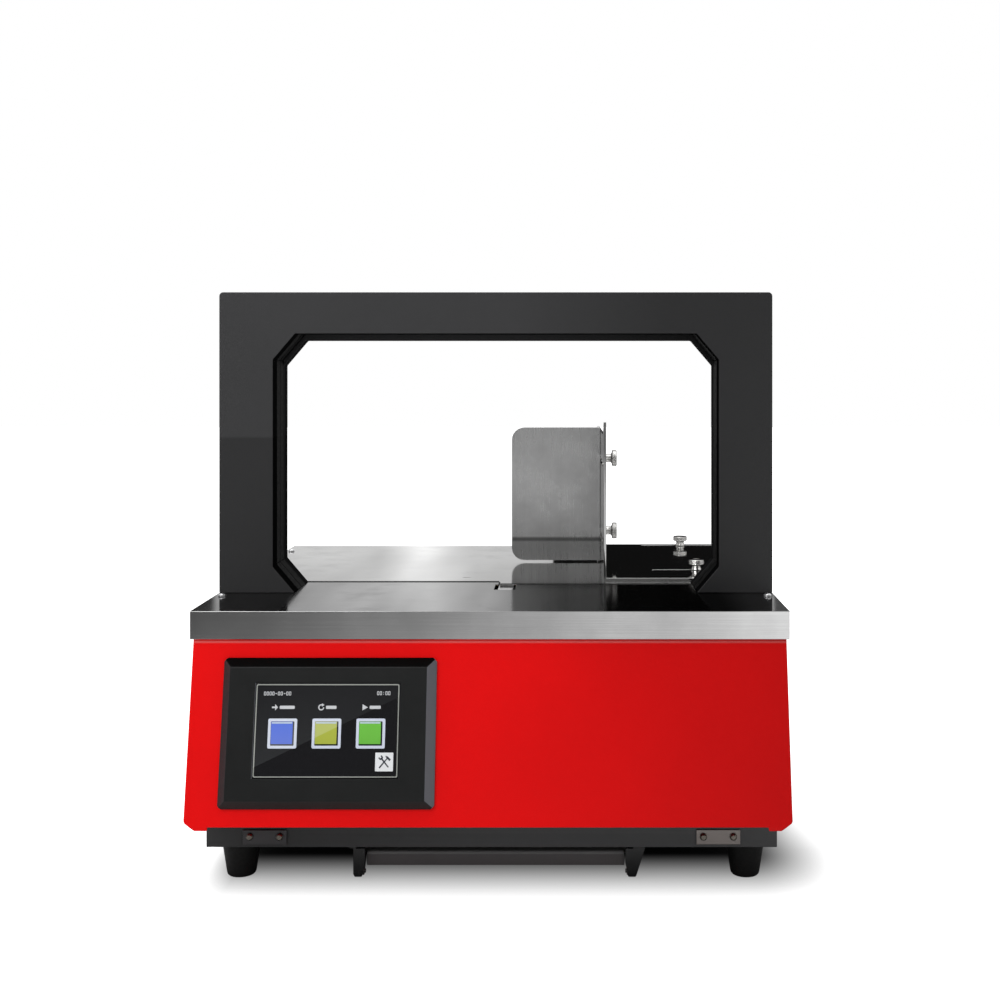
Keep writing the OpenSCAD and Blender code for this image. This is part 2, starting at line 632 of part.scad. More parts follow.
feed_x = 100;
feed_z = 150;
feed_r = 15;
pinch_r = 9;
pinch_z = feed_z + feed_r + pinch_r + 0.3;
arm_x = 128;
arm_z = 168;
module feed_plate() color([0.58, 0.6, 0.62]) difference() {
    block([70, 160], [124, 128], [foot_h + wall, 196]);
    block([turn_x - 14, turn_x + 14], [123, 129], [turn_z - 4, turn_z + 6]);
    rod_y(feed_x, [123, 129], feed_z, 4.05);
    rod_y(arm_x, [123, 129], arm_z, 3);
    for (sx = [-1, 1], sz = [-1, 1]) rod_y(feed_x + sx * 15.5, [123, 129], feed_z + sz * 15.5, 1.5);
}
module feed_motor() color([0.12, 0.12, 0.12]) difference() {
    block([feed_x - 21, feed_x + 21], [128, 168], [feed_z - 21, feed_z + 21]);
    rod_y(feed_x, [127, 131], feed_z, 4.1);
}
module feed_roller() color([0.7, 0.7, 0.72]) {
    rod_y(feed_x, [92, 130], feed_z, 4);
    rod_y(feed_x, [93, 119], feed_z, feed_r);
}
module pinch_arm() color([0.6, 0.62, 0.64]) difference() {
    union() {
        rod_y(arm_x, [113, 120], arm_z, 6);
        rod_y(feed_x, [119.6, 122.6], pinch_z, 6);
        profile_y([119.6, 122.6], [[feed_x, pinch_z - 6], [feed_x, pinch_z + 6],
            [arm_x, arm_z + 6], [arm_x, arm_z - 6]]);
        rod_y(arm_x, [119, 128], arm_z, 2.95);
        rod_y(feed_x, [93, 120], pinch_z, 3);
    }
}
module pinch_roller() color([0.75, 0.75, 0.77]) difference() {
    rod_y(feed_x, [94, 118.6], pinch_z, pinch_r);
    rod_y(feed_x, [93, 120], pinch_z, 3.05);
}

// Two bars at 45 degrees that turn the band from the reel's plane to the arch's plane
turn_x = 138;
turn_z = 140;
module turn_bars() color([0.78, 0.78, 0.8]) {
    for (d = [arch_mid, 364]) translate([turn_x, deep(d), turn_z]) rotate([0, 0, 45])
        rotate([0, 90, 0]) translate([0, 0, -18]) cylinder(r = 3, h = 36);
    block([turn_x - 2, turn_x + 2], [arch_mid - 2, arch_mid + 2], [foot_h + wall, turn_z - 2]);
    block([turn_x - 14, turn_x + 14], [346, 376], [turn_z - 6, turn_z - 2.5]);
}

// ---- Electrics ----

module control_board() color([0.1, 0.35, 0.2]) {
    block([-130, -20], [230, 231.6], [50, 130]);
    for (x = [-124, -26]) block([x - 4, x + 4], [231.6, 243], [foot_h + wall, 60]);
    for (i = [0:3]) block([-120 + 24 * i, -104 + 24 * i], [222, 230], [112, 124]);
    block([-90, -60], [225, 230], [70, 95]);
}
module power_supply() color([0.68, 0.69, 0.7]) difference() {
    block([10, 140], [225, 300], [foot_h + wall, 67]);
    for (i = [0:5]) slot_xz([30 + 16 * i, 34 + 16 * i], 262, [60, 70], 2);
}
module start_sensor() color([0.1, 0.1, 0.1]) difference() {
    union() {
        rod_z(-28, 153, [170, under], 5);
        block([-38, -18], [146, 160], [under - 2, under]);
    }
    rod_z(-28, 153, [under - 1, under + 1], 1.5);
}
module power_inlet() color([0.07, 0.07, 0.07]) {
    switch_frame();
    inlet_body();
}
module switch_frame() {
    difference() {
        block([-178.5, -154], [346, 347], [115.5, 134.5]);
        block([-176, -156.5], [345, 348], [118.5, 131.5]);
    }
    for (x = [-178, -156.2]) block([x, x + 1.9], [341, 346], [120, 130]);
    rod_x([-177, -155], 343.5, rocker_z, 0.75);
}
module inlet_body() difference() {
    union() {
        block([-175.8, -148.7], [325, 346], [79.2, 99.3]);
        block([-180, -144.5], [346, 348], [76, 102.5]);
    }
    block([-173, -151.5], [336, 349], [82, 96.5]);
    for (x = [-167, -157.5]) block([x - 1, x + 1], [330, 337], [86, 92]);
}
rocker_z = 125;
module power_rocker() color([0.75, 0.08, 0.08]) difference() {
    profile_x([-175.7, -156.8], [[342, rocker_z - 5], [348.6, rocker_z - 5.6], [347.4, rocker_z],
        [348.6, rocker_z + 5.6], [342, rocker_z + 5]]);
    rod_x([-176, -156], 343.5, rocker_z, 0.8);
}
module pedal_socket() color([0.68, 0.68, 0.7]) difference() {
    union() {
        rod_y(-166, [332, 346], 152, 6);
        rod_y(-166, [346, 349], 152, 8);
    }
    rod_y(-166, [340, 350], 152, 4);
}

// ---- Reel behind the machine ----

reel_x = -60;
reel_z = 106;
spindle_r = 6;
module reel_spindle() color([0.7, 0.7, 0.72]) {
    rod_y(reel_x, [336, reel_front + roll_w + 5], reel_z, spindle_r);
    rod_y(reel_x, [338, 344.5], reel_z, 11);
    rod_y(reel_x, [346, reel_front - 1.9], reel_z, 11);
}
module reel() color([0.16, 0.16, 0.17]) difference() {
    union() {
        rod_y(reel_x, [reel_front - 1.6, reel_front], reel_z, reel_d / 2);
        rod_y(reel_x, [reel_front, reel_front + roll_w], reel_z, 18);
    }
    rod_y(reel_x, [reel_front - 3, reel_front + roll_w + 1], reel_z, spindle_r + 0.05);
    for (a = [30:60:330])
        rod_y(reel_x + 42 * cos(a), [reel_front - 3, reel_front + 1], reel_z + 42 * sin(a), 11);
}
module band_roll() color([0.9, 0.88, 0.82]) difference() {
    rod_y(reel_x, [reel_front + 0.2, reel_front + 0.2 + band_w], reel_z, reel_d / 2 - 9);
    rod_y(reel_x, [reel_front - 1, reel_front + roll_w + 1], reel_z, 18.05);
}
module reel_knob() color([0.16, 0.16, 0.17]) difference() {
    union() {
        rod_y(reel_x, [reel_front + roll_w + 0.2, reel_front + roll_w + 1.8], reel_z, reel_d / 2);
        rod_y(reel_x, [reel_front + roll_w + 1.8, reel_front + roll_w + 16], reel_z, 15);
    }
    rod_y(reel_x, [reel_front, reel_front + roll_w + 6], reel_z, spindle_r + 0.05);
    for (a = [0:30:330])
        rod_y(reel_x + 17 * cos(a), [reel_front + roll_w + 4, reel_front + roll_w + 17],
            reel_z + 17 * sin(a), 3.2);
    for (a = [30:60:330])
        rod_y(reel_x + 50 * cos(a), [reel_front + roll_w, reel_front + roll_w + 3],
            reel_z + 50 * sin(a), 13);
}

base_tray();
rubber_feet();
foot_bolts();
tie_plates();
tie_plate_screws();
start_bar();
bar_brackets();
bar_pins();
start_switch();
housing();
rear_panel();
cover_screws();
end_frames();
worktop_front();
worktop_rear();
worktop_screws();
clamp_inserts();
arch_front_cover();
arch_rear_cover();
band_track();
rear_leaves();
flap_left();
flap_top();
flap_right();
side_guide();
back_stop();
stop_nuts();
guide_knob_front();
guide_knob_rear();
stop_knob_upper();
stop_knob_lower();
hmi_bezel();
hmi_screen();
hmi_case();
head_block();
head_cheeks();
gripper_left();
gripper_right();
press_head();
cutter();
anvil();
cam_shaft();
cam_bearings();
cam_motor();
feed_plate();
feed_motor();
feed_roller();
pinch_arm();
pinch_roller();
turn_bars();
control_board();
power_supply();
start_sensor();
power_inlet();
power_rocker();
pedal_socket();
reel_spindle();
reel();
band_roll();
reel_knob();
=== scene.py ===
import json
import math

import bmesh
import bpy
from mathutils import Matrix, Vector


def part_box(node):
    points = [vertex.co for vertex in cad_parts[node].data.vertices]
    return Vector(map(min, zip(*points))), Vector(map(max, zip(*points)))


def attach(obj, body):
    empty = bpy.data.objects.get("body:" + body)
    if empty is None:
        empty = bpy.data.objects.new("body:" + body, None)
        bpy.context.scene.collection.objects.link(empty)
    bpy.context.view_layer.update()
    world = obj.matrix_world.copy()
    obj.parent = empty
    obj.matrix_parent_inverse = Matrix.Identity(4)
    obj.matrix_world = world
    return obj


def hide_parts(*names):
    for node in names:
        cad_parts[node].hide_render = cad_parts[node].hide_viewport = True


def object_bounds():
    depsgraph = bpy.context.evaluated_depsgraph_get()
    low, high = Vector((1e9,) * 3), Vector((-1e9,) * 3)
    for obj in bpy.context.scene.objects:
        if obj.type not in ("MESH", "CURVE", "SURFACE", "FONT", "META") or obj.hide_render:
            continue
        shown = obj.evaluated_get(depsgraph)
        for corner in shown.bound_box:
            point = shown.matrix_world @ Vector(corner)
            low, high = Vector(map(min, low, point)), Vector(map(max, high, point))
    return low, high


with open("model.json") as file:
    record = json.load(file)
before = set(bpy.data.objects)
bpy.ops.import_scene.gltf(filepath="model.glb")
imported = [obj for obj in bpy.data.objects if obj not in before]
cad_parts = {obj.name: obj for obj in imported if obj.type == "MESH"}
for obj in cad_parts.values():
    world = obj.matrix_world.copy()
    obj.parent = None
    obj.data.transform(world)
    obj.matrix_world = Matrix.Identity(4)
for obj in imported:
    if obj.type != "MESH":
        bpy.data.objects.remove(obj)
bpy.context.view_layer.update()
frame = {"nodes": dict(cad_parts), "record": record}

MM = 0.001
FRONT_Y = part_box("worktop_front")[0].y  # the worktop's front edge
TOP_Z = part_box("worktop_front")[1].z  # the worktop's surface


# ---- Materials ----

class Nodes:
    """Chained shader nodes in one tree. place holds the coordinates that its textures and tones read."""

    def __init__(self, tree, coordinates):
        self.tree = tree
        self.place = self.node("ShaderNodeTexCoord").outputs[coordinates]

    def node(self, kind, **props):
        made = self.tree.nodes.new(kind)
        for key, value in props.items():
            setattr(made, key, value)
        return made

    def feed(self, socket, value):
        if isinstance(value, bpy.types.NodeSocket):
            self.tree.links.new(value, socket)
        else:
            socket.default_value = value

    def stretch(self, scale, turn=(0, 0, 0)):
        mapping = self.node("ShaderNodeMapping")
        self.feed(mapping.inputs["Vector"], self.place)
        mapping.inputs["Scale"].default_value = scale
        mapping.inputs["Rotation"].default_value = turn
        return mapping.outputs["Vector"]

    def noise(self, scale, detail=2.0, rough=0.5, vector=None):
        tex = self.node("ShaderNodeTexNoise")
        self.feed(tex.inputs["Vector"], self.place if vector is None else vector)
        tex.inputs["Scale"].default_value = scale
        tex.inputs["Detail"].default_value = detail
        tex.inputs["Roughness"].default_value = rough
        return tex.outputs["Fac"]

    def cells(self, scale):
        tex = self.node("ShaderNodeTexVoronoi")
        self.feed(tex.inputs["Vector"], self.place)
        tex.inputs["Scale"].default_value = scale
        return tex.outputs["Distance"]

    def axis(self, name):
        split = self.node("ShaderNodeSeparateXYZ")
        self.feed(split.inputs[0], self.place)
        return split.outputs[name]

    def math(self, kind, a, b=0.0):
        made = self.node("ShaderNodeMath", operation=kind)
        self.feed(made.inputs[0], a)
        self.feed(made.inputs[1], b)
        return made.outputs[0]

    def span(self, value, low, high, to_low=0.0, to_high=1.0, curve="LINEAR"):
        """Maps low..high to to_low..to_high and clamps it there. low may be the larger one."""
        made = self.node("ShaderNodeMapRange", interpolation_type=curve)
        for socket, item in zip(made.inputs, (value, low, high, to_low, to_high)):
            self.feed(socket, item)
        return made.outputs[0]

    def mix(self, fac, a, b):
        made = self.node("ShaderNodeMix", data_type="RGBA")
        self.feed(made.inputs[0], fac)
        self.feed(made.inputs[6], a)
        self.feed(made.inputs[7], b)
        return made.outputs[2]

    def bump(self, height, strength, distance, normal=None):
        made = self.node("ShaderNodeBump")
        made.inputs["Strength"].default_value = strength
        made.inputs["Distance"].default_value = distance
        self.feed(made.inputs["Height"], height)
        if normal is not None:
            self.feed(made.inputs["Normal"], normal)
        return made.outputs["Normal"]

    def times(self, a, b):
        return self.math("MULTIPLY", a, b)

    def edges(self):
        """1 on raised edges, 0 elsewhere."""
        return self.span(self.node("ShaderNodeNewGeometry").outputs["Pointiness"], 0.52, 0.6)

    def facing(self, name):
        """One component of the surface's direction."""
        split = self.node("ShaderNodeSeparateXYZ")
        self.feed(split.inputs[0], self.node("ShaderNodeNewGeometry").outputs["Normal"])
        return split.outputs[name]

    def ray(self, kind):
        """1 for rays of one kind, such as "Is Camera Ray"."""
        return self.node("ShaderNodeLightPath").outputs[kind]

    def vector(self, kind, a, b=None):
        """A vector operation's node."""
        made = self.node("ShaderNodeVectorMath", operation=kind)
        self.feed(made.inputs[0], a)
        if b is not None:
            self.feed(made.inputs[1], b)
        return made


class Shader(Nodes):
    """A node-based material round one principled surface."""

    def __init__(self, name, **inputs):
        self.mat = bpy.data.materials.new(name)
        self.mat.use_nodes = True
        super().__init__(self.mat.node_tree, "Object")
        self.bsdf = self.tree.nodes["Principled BSDF"]
        self.set(**inputs)

    def set(self, **inputs):
        """Feeds the surface's inputs, named with _ for each space."""
        for key, value in inputs.items():
            self.feed(self.bsdf.inputs[key.replace("_", " ")], value)


BLACK = (0, 0, 0, 1)
WHITE = (1, 1, 1, 1)


def shade(rgb, k):
    """The colour made k times as bright."""
    return (rgb[0] * k, rgb[1] * k, rgb[2] * k, 1)


def powder_coat(name, rgb, rough, peel, grain, coat=0.0, edge_highlight=1.5, gloss=0.3, tone=None):
    """Powder coat: orange peel, fine grain and slightly paler edges, a painted highlight.

    tone(shader, base) may paint light and shade into the colour in places, here and in the finishes below.
    """
    s = Shader(name, Coat_Weight=coat, Coat_Roughness=0.25, Specular_IOR_Level=gloss)
    cloud = s.noise(9, 3)
    base = s.mix(s.span(cloud, 0.3, 0.7), shade(rgb, 0.93), shade(rgb, 1.05))
    fleck = s.span(s.noise(2600, 2), 0.35, 0.7, 0, 0.35)
    base = s.mix(fleck, base, shade(rgb, 1.22))
    # Painted highlight: the edges are made paler
    base = s.mix(s.times(s.edges(), 0.35), base, shade(rgb, edge_highlight))
    s.set(Base_Color=tone(s, base) if tone else base)
    s.set(Roughness=s.span(s.noise(700, 2), 0.3, 0.7, rough - 0.05, rough + 0.06))
    peel_normal = s.bump(s.noise(520, 2), peel, 0.0004)
    s.set(Normal=s.bump(s.noise(2400, 1), grain, 0.00012, peel_normal))
    return s.mat


BEND_Z = TOP_Z - 22.2 * MM  # the front panel's bend, just under the worktop's folded edge
BEND_HALF = 1.2 * MM
BEND_HIGHLIGHT = (0.9, 0.42, 0.4, 1)
HOOD_LIT_X, HOOD_DARK_X = -0.02, 0.21  # painted shade darkens the front from the first to the second
HOOD_BOUNCE = (0.3, 0.28, 0.28, 1)


def hood_tone(s, base):
    """A painted highlight along the bend, and painted shade darker to the right. The light it bounces is
    neutral.
    """
    from_bend = s.math("ABSOLUTE", s.math("SUBTRACT", s.axis("Z"), BEND_Z))
    line = s.times(s.span(from_bend, 0, BEND_HALF, 1, 0), s.span(s.facing("Y"), -0.6, -0.9))
    base = s.mix(s.times(line, 0.3), base, BEND_HIGHLIGHT)
    base = s.mix(s.span(s.axis("X"), HOOD_LIT_X, HOOD_DARK_X, 0, 0.34), base, BLACK)
    return s.mix(s.ray("Is Diffuse Ray"), base, HOOD_BOUNCE)


REAR_COVER_Y = FRONT_Y + 110 * MM  # behind this lies the arch's rear cover
ARCH_STEP_Z = TOP_Z + 120 * MM  # the edge of a painted reflection: the faces are painted darker below this
ARCH_LIT_X, ARCH_DARK_X = 0.01, 0.13
WALL_X = 173 * MM  # the opening's walls lie within this, either side of the middle
WALL_Z = TOP_Z + 201 * MM  # and below this
WALL_FADE = 3 * MM


def arch_tone(s, base):
    """Painted shade: the face is darker low down and to the right, and the opening's walls and rear lip
    are painted dark.
    """
    lower = s.times(s.span(s.axis("Z"), ARCH_STEP_Z + MM, ARCH_STEP_Z - MM), 0.34)
    right = s.span(s.axis("X"), ARCH_LIT_X, ARCH_DARK_X, 0, 0.42)
    base = s.mix(s.math("MAXIMUM", lower, right), base, BLACK)
    inside = s.span(s.math("ABSOLUTE", s.axis("X")), WALL_X + WALL_FADE, WALL_X)
    inside = s.times(inside, s.span(s.axis("Z"), WALL_Z + WALL_FADE, WALL_Z))
    behind = s.span(s.axis("Y"), REAR_COVER_Y, REAR_COVER_Y + MM)
    lip = s.times(behind, s.span(s.facing("Y"), -0.5, -0.8, 0, 0.55))
    turned_in = s.span(s.math("ABSOLUTE", s.facing("Y")), 0.7, 0.4)
    walls = s.times(inside, s.math("MAXIMUM", turned_in, lip))
    s.set(Specular_IOR_Level=s.span(walls, 0, 1, 0.2, 0.0))
    return s.mix(s.times(walls, s.span(behind, 0, 1, 0.88, 0.6)), base, BLACK)


BAR_TOP_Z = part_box("start_bar")[1].z
BAR_BEND_HIGHLIGHT = (0.17, 0.165, 0.165, 1)


def bar_tone(s, base):
    """A painted highlight on the bar's rounded top bend."""
    bend = s.span(s.axis("Z"), BAR_TOP_Z - 2.2 * MM, BAR_TOP_Z - 1.2 * MM)
    return s.mix(s.times(bend, 0.8), base, BAR_BEND_HIGHLIGHT)


SEAM_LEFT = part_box("worktop_front")[1].y + 0.4 * MM  # where the seam lies, left of the band's slot
SEAM_RIGHT = FRONT_Y + 118.4 * MM  # and right of it, up to the next line's place across
SEAM_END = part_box("worktop_front")[1].x - 30 * MM
SEAM_HALF = 2.3 * MM  # half the width of the painted shadow line
SEAM_SHADOW = (0.02, 0.02, 0.02, 1)
WORKTOP_SHADE_FROM_X, WORKTOP_SHADE_FULL_X = -0.005, 0.05  # the right part's extra painted shade comes in between these
WORKTOP_SHADE_FADE_X, WORKTOP_SHADE_GONE_X = 0.17, 0.19  # and goes out between these


def worktop_tone(dim, right):
    """A painted shadow line along the seam. dim paints shade over the top face, and right adds more
    painted shade on the right.
    """
    def tone(s, base):
        top = s.span(s.facing("Z"), 0.4, 0.7)
        painted_shade = s.span(s.axis("X"), WORKTOP_SHADE_FROM_X, WORKTOP_SHADE_FULL_X, 0, right)
        painted_shade = s.times(painted_shade, s.span(s.axis("X"), WORKTOP_SHADE_GONE_X, WORKTOP_SHADE_FADE_X))
        painted_shade = s.math("ADD", painted_shade, dim)
        base = s.mix(s.times(top, painted_shade), base, BLACK)
        # The painted shade darkens the sheet's low-angle tint too
        s.low_angle = s.mix(s.times(top, s.times(painted_shade, 0.5)), s.low_angle, BLACK)
        nearer = s.span(s.axis("X"), -0.2 * MM, 0.2 * MM)
        nearer = s.times(nearer, s.span(s.axis("X"), SEAM_END, SEAM_END - MM))
        seam = s.span(nearer, 0, 1, SEAM_LEFT, SEAM_RIGHT)
        gap = s.math("ABSOLUTE", s.math("SUBTRACT", s.axis("Y"), seam))
        line = s.times(s.span(gap, SEAM_HALF, 2 * SEAM_HALF, 1, 0), top)
        s.low_angle = s.mix(s.times(line, 0.9), s.low_angle, BLACK)
        return s.mix(s.times(line, 0.95), base, SEAM_SHADOW)
    return tone


STOP_BAND_Z = TOP_Z + 20.5 * MM  # where the painted reflection of the worktop's far edge lies on the back stop
STOP_REFLECTED_EDGE = (0.03, 0.03, 0.03, 1)


def stop_tone(s, base):
    """Painted reflection low on the stop: a dark band, with the mirrored worktop painted darker below it.
    """
    from_band = s.math("SUBTRACT", s.axis("Z"), STOP_BAND_Z)
    base = s.mix(s.span(from_band, 0, -1.5 * MM, 0, 0.3), base, BLACK)
    band = s.span(s.math("ABSOLUTE", from_band), 0.8 * MM, 2.6 * MM, 0.7, 0)
    return s.mix(band, base, STOP_REFLECTED_EDGE)


def tray_tone(s, base):
    """Painted shade: darker to the left."""
    return s.mix(s.span(s.axis("X"), -0.02, -0.16, 0, 0.48), base, BLACK)


TIE_SHADED = (0.06, 0.058, 0.06, 1)
TIE_LIT = (0.2, 0.18, 0.17, 1)


def tie_tone(s, base):
    """Painted light: the left plate is painted darker than the right one. Both have their own colours, so
    base isn't used.
    """
    return s.mix(s.span(s.axis("X"), -0.05, 0.05), TIE_SHADED, TIE_LIT)


BEVEL_LEFT_LIGHT = (0.022, 0.023, 0.025, 1)
BEVEL_RIGHT_LIGHT = (0.125, 0.13, 0.145, 1)


def panel_tone(s, base):
    """Painted light on the touch panel's bevels: pale on the right, grey on the left, dark above."""
    side = s.facing("X")
    above = s.span(s.facing("Z"), 0.55, 0.75)
    s.set(Specular_IOR_Level=s.span(above, 0, 1, 0.18, 0.02))
    base = s.mix(s.times(above, 0.9), base, BLACK)
    base = s.mix(s.span(side, -0.4, -0.6), base, BEVEL_LEFT_LIGHT)
    return s.mix(s.span(side, 0.4, 0.6), base, BEVEL_RIGHT_LIGHT)


STREAK_FINE, STREAK_BROAD = 2600, 420  # noise scales across the brushing
STREAK_LONG, STREAK_LONGER = 14, 5  # and along it
WORN_TINT = (0.45, 0.45, 0.45, 1)


def brushed(name, rgb, rough, along, streak=0.5, blotch=0.0, patch=0.0, tone=None):
    """Brushed sheet: fine streaks along one axis, soft blotches from handling and broad uneven patches.

    low_angle is the sheet's tint at a low angle. A tone may change it.
    """
    s = Shader(name, Metallic=1.0)
    scale = [STREAK_FINE] * 3
    scale["XYZ".index(along)] = STREAK_LONG
    lines = s.noise(1, 3, 0.65, s.stretch(scale))
    broad = [STREAK_BROAD] * 3
    broad["XYZ".index(along)] = STREAK_LONGER
    bands = s.noise(1, 2, 0.5, s.stretch(broad))
    dark, pale = shade(rgb, 1 - 0.28 * streak), shade(rgb, 1 + 0.12 * streak)
    base = s.mix(s.span(lines, 0.25, 0.75), dark, pale)
    base = s.mix(s.span(bands, 0.3, 0.7, 0, 0.4), base, shade(rgb, 0.85))
    smear = s.span(s.noise(38, 4, 0.6), 0.42, 0.68)
    base = s.mix(s.times(smear, blotch), base, shade(rgb, 0.72))
    uneven = s.span(s.noise(1, 2, 0.5, s.stretch((13, 2.5, 9))), 0.38, 0.62)
    base = s.mix(s.times(uneven, patch), base, shade(rgb, 0.55))
    # The same wear dulls the sheet where it is seen at a low angle
    wear = s.math("MAXIMUM", s.times(smear, blotch), s.times(uneven, patch))
    s.low_angle = s.mix(wear, WHITE, WORN_TINT)
    s.set(Base_Color=tone(s, base) if tone else base)
    s.set(Specular_Tint=s.low_angle)
    fine = s.span(lines, 0.2, 0.8, rough * 0.8, rough * 1.3)
    s.set(Roughness=s.math("ADD", fine, s.times(smear, 0.08 * blotch)))
    s.set(Normal=s.bump(lines, 0.22 * streak, 0.00006))
    return s.mat


def plated(name, rgb, rough, spangle=0.3, pits=0.12, rim_shade=1.0):
    """Zinc or nickel plate: faint crystals and tiny pits. A rim shade below 1 paints shade on the sides
    that turn away from the eye.
    """
    s = Shader(name, Metallic=1.0)
    crystal = s.cells(240)
    base = s.mix(s.span(crystal, 0.1, 0.7, 0, spangle), shade(rgb, 1), shade(rgb, 0.7))
    if rim_shade < 1:
        # Painted shade on the sides that turn away from the eye
        turned = s.span(s.node("ShaderNodeLayerWeight").outputs["Facing"], 0.15, 0.75)
        base = s.mix(turned, base, shade(rgb, rim_shade))
        s.set(Specular_Tint=shade(WHITE, rim_shade))
    s.set(Base_Color=base)
    s.set(Roughness=s.span(s.noise(900, 3), 0.3, 0.7, rough * 0.7, rough * 1.4))
    s.set(Normal=s.bump(s.noise(1800, 2), pits, 0.00005))
    return s.mat


def moulded(name, rgb, rough, grain=0.35, scale=1500, edge_sheen=1.3, gloss=0.5, tone=None):
    """Moulded plastic or rubber: eroded grain and paler edges, a painted sheen."""
    s = Shader(name, Specular_IOR_Level=gloss)
    base = s.mix(s.span(s.noise(30, 3), 0.35, 0.7), shade(rgb, 0.88), shade(rgb, 1.12))
    # Painted sheen: the edges are made paler
    base = s.mix(s.times(s.edges(), 0.5), base, shade(rgb, edge_sheen))
    s.set(Base_Color=tone(s, base) if tone else base)
    s.set(Roughness=s.span(s.noise(400, 2), 0.3, 0.7, rough - 0.05, rough + 0.07))
    pits = s.math("ADD", s.cells(scale), s.noise(scale * 0.7, 2))
    s.set(Normal=s.bump(pits, grain, 0.00008))
    return s.mat


SHEEN_LOW = 0.11  # where the painted reflection's edge crosses the screen's left side, as a share of its height
SHEEN_SLOPE = 0.75
SHEEN_EDGE = 0.004  # half the width of the edge's fade


def sheen(s):
    """1 where the painted reflection of a window lies on the screen, fading towards the top right."""
    lo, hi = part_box("hmi_screen")
    across = s.span(s.axis("X"), lo.x, hi.x)
    up = s.span(s.axis("Z"), lo.z, hi.z)
    edge = s.math("SUBTRACT", up, s.math("ADD", SHEEN_LOW, s.times(across, SHEEN_SLOPE)))
    lit = s.span(edge, -SHEEN_EDGE, SHEEN_EDGE)
    fading = s.times(s.span(edge, 0, 0.9, 1, 0.2), s.span(across, 0.1, 1, 1, 0.35))
    return s.times(lit, fading)


ROW_SCALE = 900


def pixel_rows(s, base, dark, weight):
    """The screen's fine level rows."""
    rows = s.node("ShaderNodeTexWave", wave_type="BANDS", bands_direction="Z")
    s.feed(rows.inputs["Vector"], s.place)
    rows.inputs["Scale"].default_value = ROW_SCALE
    return s.mix(s.times(rows.outputs["Fac"], weight), base, dark)


WINDOW_REFLECTION = (0.75, 0.76, 0.72, 1)


def glowing(name, rgb, top=1.15, bottom=0.8, glow=0.55, low=0.0, high=1.0):
    """A lit patch of the screen: brighter at the top, with its fine rows and a window's painted
    reflection.
    """
    s = Shader(name, Roughness=0.35, Specular_IOR_Level=0.2)
    fade = s.span(s.axis("Z"), low, high)
    base = s.mix(fade, shade(rgb, bottom), shade(rgb, top))
    base = pixel_rows(s, base, shade(rgb, 0.6), 0.1)
    base = s.mix(s.times(sheen(s), 0.14), base, WINDOW_REFLECTION)
    s.set(Base_Color=base, Emission_Color=base, Emission_Strength=glow)
    return s.mat


WINDING = 9000  # radians per metre of radius: one turn of band each 0.7 mm
PAPER = (0.84, 0.8, 0.7, 1)
PAPER_GAP = (0.6, 0.55, 0.45, 1)


def paper_roll():
    """Wound paper: fine rings on the roll's sides."""
    s = Shader("band_paper", Roughness=0.75)
    lo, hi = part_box("band_roll")
    offset = s.vector("SUBTRACT", s.place, (lo + hi) / 2)
    flat = s.vector("MULTIPLY", offset.outputs[0], (1, 0, 1))
    radius = s.vector("LENGTH", flat.outputs[0]).outputs["Value"]
    rings = s.math("SINE", s.times(radius, WINDING))
    uneven = s.noise(1, 2, 0.6, s.stretch((60, 60, 60)))
    mask = s.times(s.span(rings, -1, 1), s.span(uneven, 0.2, 0.8, 0.25, 0.8))
    s.set(Base_Color=s.mix(mask, PAPER, PAPER_GAP))
    s.set(Normal=s.bump(rings, 0.25, 0.0001))
    return s.mat


BOARD_DARK = (0.01, 0.10, 0.035, 1)
BOARD_PALE = (0.012, 0.13, 0.05, 1)
BOARD_TRACK = (0.03, 0.24, 0.09, 1)


def circuit_board():
    """Green board with paler tracks under its lacquer."""
    s = Shader("board_green", Roughness=0.3, Coat_Weight=0.4)
    tracks = s.node("ShaderNodeTexBrick")
    s.feed(tracks.inputs["Vector"], s.stretch((220, 220, 220), (math.pi / 2, 0, 0)))
    tracks.inputs["Color1"].default_value = BOARD_DARK
    tracks.inputs["Color2"].default_value = BOARD_PALE
    tracks.inputs["Mortar"].default_value = BOARD_TRACK
    s.set(Base_Color=tracks.outputs["Color"])
    s.set(Normal=s.bump(tracks.outputs["Fac"], 0.3, 0.0001))
    return s.mat


SCREEN_DARK = (0.0075, 0.0075, 0.009, 1)
SCREEN_REFLECTION = (0.027, 0.028, 0.03, 1)
SCREEN_ROW = (0.003, 0.003, 0.004, 1)


def screen_face():
    """The dark screen behind glass: pixel rows and a window's painted reflection."""
    s = Shader("screen_glass", Roughness=0.15, Specular_IOR_Level=0.35)
    base = s.mix(sheen(s), SCREEN_DARK, SCREEN_REFLECTION)
    s.set(Base_Color=pixel_rows(s, base, SCREEN_ROW, 0.12))
    s.set(Normal=s.bump(s.noise(14, 1), 0.03, 0.0004))
    return s.mat


def srgb(r, g, b):
    """Linear colour from 8-bit sRGB levels."""
    return tuple(((c / 255 + 0.055) / 1.055) ** 2.4 if c > 10 else c / 255 / 12.92 for c in (r, g, b))
